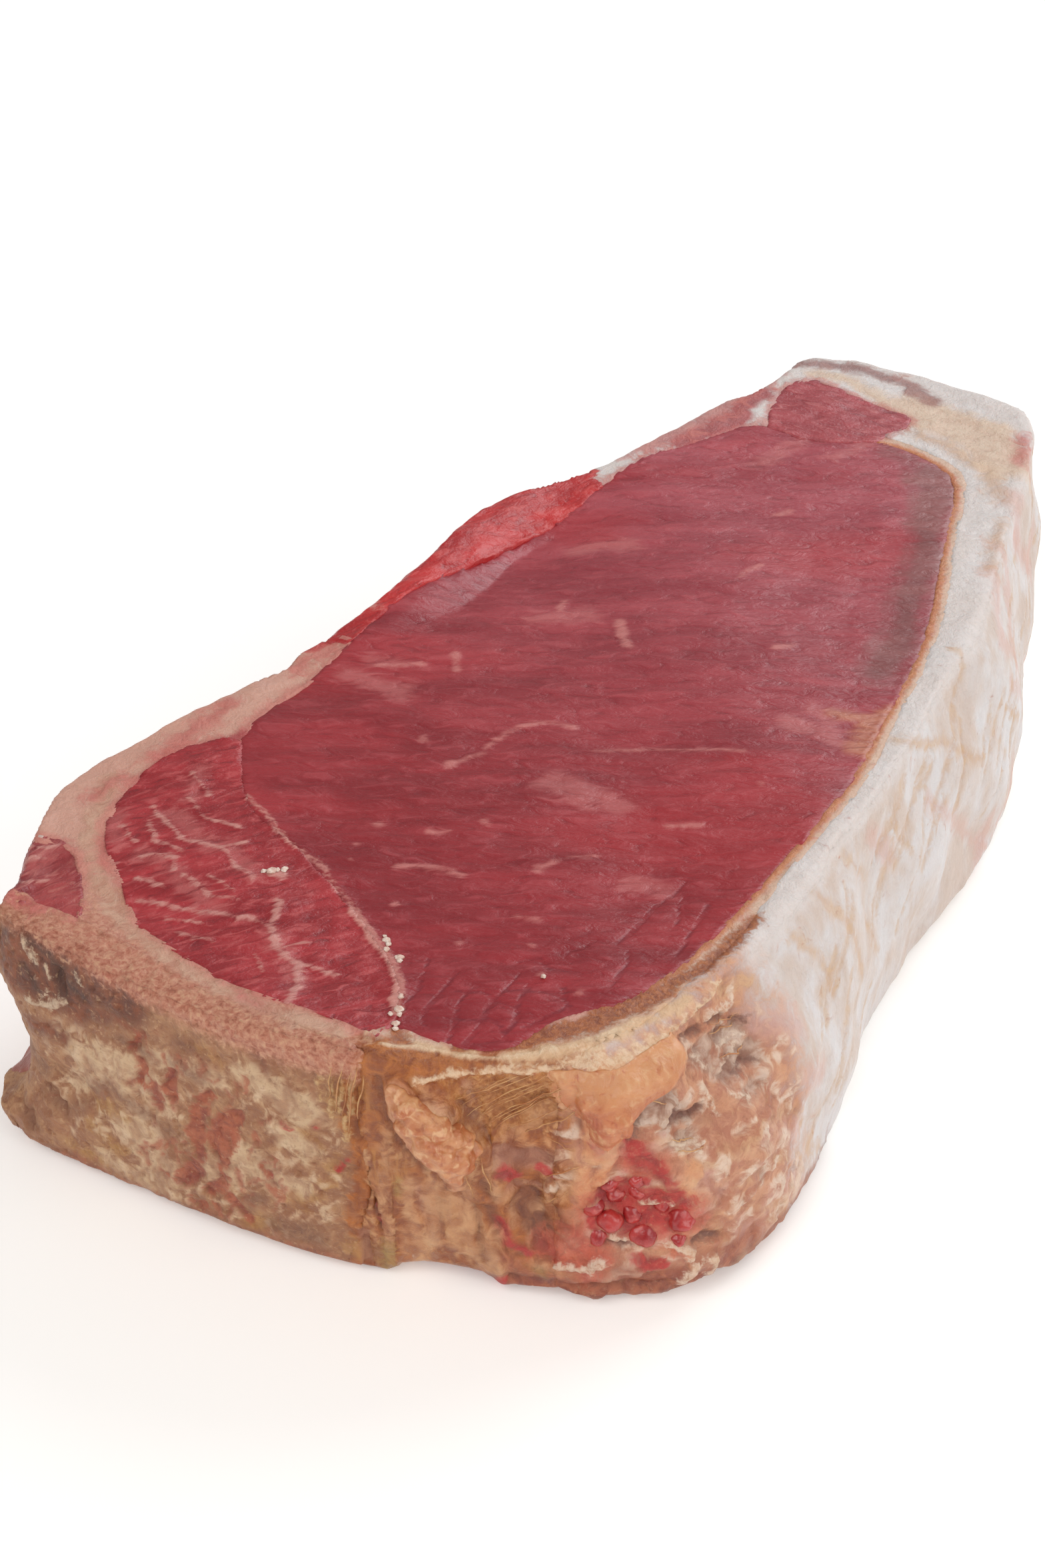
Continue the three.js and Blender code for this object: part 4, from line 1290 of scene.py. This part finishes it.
# %% Find the surface under a place on the side
def surface_tree(piece):
    """A tree that finds where a ray meets the piece."""
    corners = [vertex.co[:] for vertex in piece.data.vertices]
    return BVHTree.FromPolygons(corners, [face.vertices[:] for face in piece.data.polygons])


UNDER = [surface_tree(piece) for piece in (sawn_bone, ligament, back_fat_rim, seam_fat_edge)]
ABOVE = [surface_tree(piece) for piece in (lean_eye, marbled_side)]
RAY_START = 0.04
RAY_LENGTH = 0.06


def against_side(along, up, off):
    """The point that lies off millimetres outside the surface at this place on the side."""
    around = np.interp(along, RIM_ALONG, np.arange(len(RIM)))
    index = int(around) % len(RIM)
    outward = Vector((*RIM_OUT[index], 0))
    start = Vector((*RIM[index], up)) * MM + outward * RAY_START
    hits = [tree.ray_cast(start, -outward, RAY_LENGTH)[3] for tree in UNDER]
    reach = min((hit for hit in hits if hit is not None), default=RAY_START)
    slide = Vector((*RIM_TANGENT[index], 0)) * float((around - int(around)) * RIM_STEPS[index] * MM)
    return start - outward * (reach - off * MM) + slide


def lay_on_side(piece, shape):
    """Moves each point of a flat-built piece to the place along, up and off that shape gives for it."""
    laid_out = shape(points(piece))
    put_back(piece, np.array([against_side(*row) for row in laid_out]) / MM)


def add_free_piece(piece, name, material):
    """Names and smooths a free piece, turns its faces outwards and gives it its material."""
    piece.name = name
    bpy.ops.object.select_all(action="DESELECT")
    piece.select_set(True)
    bpy.context.view_layer.objects.active = piece
    bpy.ops.object.mode_set(mode="EDIT")
    bpy.ops.mesh.select_all(action="SELECT")
    bpy.ops.mesh.normals_make_consistent(inside=False)
    bpy.ops.object.mode_set(mode="OBJECT")
    bpy.ops.object.shade_smooth()
    piece.data.materials.append(material)
    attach(piece, "root")
    print(name, len(piece.data.polygons), "faces")


print("surface finder ready")

# %% [markdown]
# The flap starts as a grid. Its width at each height is read from a short list, its middle swells and its
# free edges curl off the side. A solidify modifier gives it a thickness and a subdivision rounds the edges.

# %% Peach flap
GRID_SIZE = 100
FLAP_EDGES = {
    # up: (left, right) along the side
    35.0: (112.0, 113.8), 36.5: (110.8, 115.0), 38.5: (109.8, 116.0), 41.5: (108.6, 116.6),
    43.5: (106.8, 118.6), 45.2: (105.6, 126.0), 47.0: (104.2, 128.6), 49.2: (103.0, 128.0),
}


def flap_shape(flat):
    """Places along, up and off the side for the points of the flat grid."""
    across = flat[:, 0] / GRID_SIZE + 0.5
    high = flat[:, 1] / GRID_SIZE + 0.5
    levels = list(FLAP_EDGES)
    up = levels[0] + (levels[-1] - levels[0]) * high
    left = np.interp(up, levels, [edge[0] for edge in FLAP_EDGES.values()])
    right = np.interp(up, levels, [edge[1] for edge in FLAP_EDGES.values()])
    along = left + (right - left) * across
    torn = np.column_stack([along, up, np.zeros(len(up))])
    rim = np.minimum(np.minimum(across, 1 - across) * (right - left), np.minimum(high, 1.2 - high) * 16)
    along = along + 0.8 * swell(torn, 2.6, 131, 3) * ramp(rim, 2.5, 0)
    up = up + 0.8 * swell(torn, 2.6, 132, 3) * ramp(rim, 2.5, 0) * ramp(high, 1.0, 0.9)
    free = ramp(across, 0.05, 0.6) * ramp(high, 1.0, 0.85)
    off = (0.1 + 0.4 * ramp(rim, 0, 2.5) + 1.0 * free + 0.5 * swell(torn, 6, 133, 2)
           + 0.25 * swell(torn, 2.2, 134, 3))
    return np.column_stack([along, up, off])


bpy.ops.object.select_all(action="DESELECT")
bpy.ops.mesh.primitive_grid_add(x_subdivisions=52, y_subdivisions=40, size=GRID_SIZE * MM)
flap = bpy.context.object
lay_on_side(flap, flap_shape)
solid = flap.modifiers.new("thickness", "SOLIDIFY")
solid.thickness = 0.7 * MM
solid.offset = -1
bpy.ops.object.modifier_apply(modifier=solid.name)
rounding = flap.modifiers.new("rounding", "SUBSURF")
rounding.levels = rounding.render_levels = 1
bpy.ops.object.modifier_apply(modifier=rounding.name)
mask(flap, "cream", ramp(points(flap)[:, 2], 40, 49))


def soft_fat_finish(name, dark, light, shine, flush, wet=0.3):
    """Warm wet fat with a blush, for the free bits."""
    fat = Finish(name, wet=wet, rough=0.25, under=0.2, under_colour=(1.0, 0.5, 0.32))
    broad, mid, fine = fat.mottle(5, 4, warp=0.7), fat.mottle(1.8, 5, warp=0.6), fat.mottle(0.7, 4)
    colour = fat.blend(fat.span(broad, 0.36, 0.64), dark, light)
    colour = fat.blend(fat.span(fat.mask("cream"), 0, 1, 0, 0.55), colour, tone(212, 160, 112))
    colour = fat.blend(fat.span(mid, 0.52, 0.7, 0, 0.6), colour, shine)
    colour = fat.blend(fat.span(mid, 0.44, 0.27, 0, 0.6), colour, flush)
    return fat.finish(colour, fat.span(mid, 0.3, 0.7, 0.32, 0.5), fat.bump(mid, 0.25, fat.bump(fine, 0.12)))


flap_finish = soft_fat_finish(
    "peach fat", dark=tone(172, 88, 48), light=tone(192, 118, 74),
    shine=tone(212, 166, 122), flush=tone(166, 70, 42))
add_free_piece(flap, "peach_flap", flap_finish)

# %% [markdown]
# One small ball, dented at random, is copied for every lobule and crumb, each copy with its own size and
# dents. The lobed lump is a heap of the same balls, melted together by a fine remesh.

# %% Lobules, lump and crumbs
LUMP_BALLS = [
    # (along, up, radius)
    (80.8, 45.4, 1.6), (82.4, 43.6, 2.3), (84.6, 42.2, 2.6), (83.2, 40.4, 2.2), (86.8, 40.8, 2.5),
    (85.2, 38.2, 2.6), (88.8, 38.8, 2.3), (87.4, 36.0, 2.7), (90.8, 37.0, 1.9), (90.2, 34.4, 2.4),
    (92.4, 34.6, 1.5), (88.6, 33.0, 2.2), (91.2, 32.0, 1.5), (89.6, 30.6, 1.5), (85.4, 35.6, 1.6),
]
LOBULES = [
    # (along, up, radius)
    (122.4, 16.8, 2.4), (118.4, 14.2, 2.3), (114.2, 17.8, 2.2), (117.6, 18.2, 1.7), (120.8, 20.0, 1.6),
    (111.8, 20.6, 2.0), (115.4, 21.8, 1.8), (118.6, 22.6, 1.7), (114.6, 25.0, 1.7), (121.6, 13.4, 1.4),
    (118.0, 25.8, 1.3), (112.4, 15.4, 1.6),
]
CRUMBS = [
    (3.5, -95.5, 0.6), (4.3, -96.2, 0.45), (4.9, -97.6, 0.5), (7.5, -98, 0.7), (8.2, -98.8, 0.45),
    (13.5, -106.5, 0.5), (15, -109.5, 0.7), (15.6, -110.3, 0.45), (14.4, -111, 0.4), (-20.5, -90, 0.6),
    (-21.4, -90.8, 0.5), (-22, -91.6, 0.7), (-23.2, -92.2, 0.45), (2.6, -94.6, 0.35), (30.5, -90.8, 0.45),
    (16.4, -112.5, 0.6), (17.0, -113.6, 0.45),
]


def joined_copies(model, shapes):
    """One mesh of copies of the model, each with its own points, in millimetres."""
    copies = []
    for shape in shapes:
        copy = model.copy()
        copy.data = model.data.copy()
        bpy.context.collection.objects.link(copy)
        put_back(copy, shape)
        copies.append(copy)
    bpy.data.objects.remove(model)
    bpy.ops.object.select_all(action="DESELECT")
    for copy in copies:
        copy.select_set(True)
    bpy.context.view_layer.objects.active = copies[0]
    bpy.ops.object.join()
    return copies[0]


def beads(spots, seed, dent, squash):
    """One mesh of copies of a dented ball, each at its spot: (place, radius)."""
    bpy.ops.object.select_all(action="DESELECT")
    bpy.ops.mesh.primitive_ico_sphere_add(subdivisions=4, radius=0.01)
    bead = bpy.context.object
    ball = points(bead) / 10
    shapes = []
    for number, (place, radius) in enumerate(spots):
        dents = 1 + dent * swell(ball + number * 7.0, 0.9, seed, 2)
        shapes.append(ball * dents[:, None] * [1, 1, squash] * radius + np.array(place) / MM)
    return joined_copies(bead, shapes)


lump_spots = [(against_side(along, up, 0.05), 1.08 * radius) for along, up, radius in LUMP_BALLS]
lump = beads(lump_spots, 141, 0.45, 1.0)
even_skin(lump, 0.3, 2)
lump_finish = soft_fat_finish(
    "lump fat", dark=tone(176, 100, 58), light=tone(204, 146, 100),
    shine=tone(230, 190, 146), flush=tone(150, 70, 40))
add_free_piece(lump, "lobed_lump", lump_finish)


def berry_finish():
    """Wet red fat, with pink highlights painted on at random."""
    berry = Finish("red lobules", wet=0.5, rough=0.15, under=0.25, under_colour=(1.0, 0.25, 0.2))
    broad, mid = berry.mottle(4, 3), berry.mottle(1.2, 4)
    colour = berry.blend(berry.span(broad, 0.36, 0.62), tone(146, 16, 20), tone(178, 52, 48))
    # The pink spots are painted highlights.
    colour = berry.blend(berry.span(mid, 0.54, 0.7, 0, 0.5), colour, tone(206, 108, 96))
    return berry.finish(colour, berry.span(mid, 0.3, 0.7, 0.25, 0.42), berry.bump(mid, 0.12))


lobule_spots = [(against_side(along, up, -0.5 * radius), radius) for along, up, radius in LOBULES]
add_free_piece(beads(lobule_spots, 151, 0.35, 1.0), "red_lobules", berry_finish())


def on_top(x, y):
    """The highest point of the steak at this place in plan."""
    above = Vector((x * MM, y * MM, 0.08))
    hits = [tree.ray_cast(above, Vector((0, 0, -1)))[0] for tree in ABOVE + UNDER]
    return max((hit for hit in hits if hit is not None), key=lambda hit: hit.z)


def crumb_finish():
    """Dry white fat."""
    crumb = Finish("fat crumbs", wet=0.1, rough=0.4, under=0.15, under_colour=(1.0, 0.7, 0.6))
    mid = crumb.mottle(0.9, 4)
    colour = crumb.blend(crumb.span(mid, 0.38, 0.62), tone(206, 170, 154), tone(226, 208, 194))
    return crumb.finish(colour, crumb.span(mid, 0.3, 0.7, 0.45, 0.65), crumb.bump(mid, 0.2))


crumb_spots = [(on_top(x, y) + Vector((0, 0, 0.15 * MM)), radius) for x, y, radius in CRUMBS]
add_free_piece(beads(crumb_spots, 161, 0.55, 0.6), "fat_crumbs", crumb_finish())

# %% [markdown]
# A thread starts as a six-sided ring that is extruded along itself. Copies are laid from place to place on
# the side, with a slight bow outwards, so that the torn fibres stand off the hollow.

# %% Golden threads
THREADS = [
    # (along, up) to (along, up), bow
    ((108, 47.5), (94.5, 36.5), 0.5), ((106, 47.8), (93, 38.5), 0.7), ((107.5, 45.5), (96, 36), 0.4),
    ((104, 48), (91.5, 40), 0.6), ((102, 48), (91, 42), 0.5), ((108.5, 43.5), (98, 35.5), 0.6),
    ((100, 48), (90, 43.5), 0.5), ((109, 41.5), (101, 35.5), 0.5), ((106.8, 46.6), (95, 37.6), 0.8),
    ((103, 46.5), (94, 39.5), 0.4), ((105, 44.5), (97, 37.5), 0.7), ((98, 47.6), (92, 44), 0.4),
    ((72.6, 48.5), (70.6, 34), 0.5), ((71.6, 48), (69.4, 36), 0.4), ((70.2, 48.4), (68.4, 38), 0.4),
    ((73.6, 47), (72.2, 37), 0.4), ((68.6, 47.6), (67.4, 39), 0.3), ((109.5, 30), (104, 27), 0.6),
    ((108.8, 33), (104.5, 35), 0.5), ((108, 24), (103, 20.5), 0.6), ((93.5, 33), (95.5, 24), 0.5),
    ((91, 30), (92.5, 22), 0.4), ((122, 31.5), (126.5, 30.5), 0.6), ((121.5, 33.8), (125.5, 31.8), 0.6),
    ((136, 45.5), (143.5, 42.5), 0.5), ((135.5, 44), (143, 41.4), 0.6), ((136, 40), (142.5, 38), 0.6),
    ((118, 43.5), (122, 41), 0.5),
]
THREAD_STEPS = 12
THREAD_RADIUS = 10
STEP_LENGTH = 100
bpy.ops.object.select_all(action="DESELECT")
bpy.ops.mesh.primitive_circle_add(vertices=6, radius=THREAD_RADIUS * MM, fill_type="NGON")
thread = bpy.context.object
bpy.ops.object.mode_set(mode="EDIT")
bpy.ops.mesh.select_all(action="SELECT")
for step in range(THREAD_STEPS):
    bpy.ops.mesh.extrude_region_move(TRANSFORM_OT_translate={"value": (0, 0, STEP_LENGTH * MM)})
bpy.ops.object.mode_set(mode="OBJECT")
STRAIGHT = points(thread)


def laid_thread(number, start, end, bow):
    """The points of the straight thread when it is laid from start to end, with a bow outwards."""
    share = np.clip(STRAIGHT[:, 2] / (STEP_LENGTH * THREAD_STEPS), 0, 1)
    places = {}
    for part in sorted(set(np.round(share, 4))):
        along, up = np.array(start) + (np.array(end) - np.array(start)) * part
        places[part] = np.array(against_side(along, up, 0.1)) / MM
    middle = np.array([places[round(float(part), 4)] for part in share])
    run = places[1.0] - places[0.0]
    out = np.array([*RIM_OUT[int(np.interp(start[0], RIM_ALONG, np.arange(len(RIM))))], 0])
    across = np.cross(run / np.linalg.norm(run), out)
    wave = 0.35 * swell(np.column_stack([share * 3, np.full(len(share), number), share * 0]), 1, 171, 2)
    thick = 0.08 + 0.07 * scatter(np.array(number), np.array(3), np.array(5), 9)
    taper = thick / THREAD_RADIUS * (0.35 + 0.65 * np.sin(np.pi * np.clip(share, 0.03, 0.97)))
    outwards = bow * np.sin(np.pi * share) + STRAIGHT[:, 0] * taper
    return middle + outwards[:, None] * out + (STRAIGHT[:, 1] * taper + wave)[:, None] * across


threads = joined_copies(thread, [laid_thread(number, *row) for number, row in enumerate(THREADS)])


def thread_finish():
    """Golden, slightly wet fibre."""
    gold = Finish("golden threads", wet=0.3, rough=0.3, under=0.1)
    mid = gold.mottle(2.5, 4)
    colour = gold.blend(gold.span(mid, 0.38, 0.62), tone(170, 108, 58), tone(200, 152, 100))
    return gold.finish(colour, gold.span(mid, 0.3, 0.7, 0.35, 0.5), gold.bump(mid, 0.05))


add_free_piece(threads, "golden_threads", thread_finish())
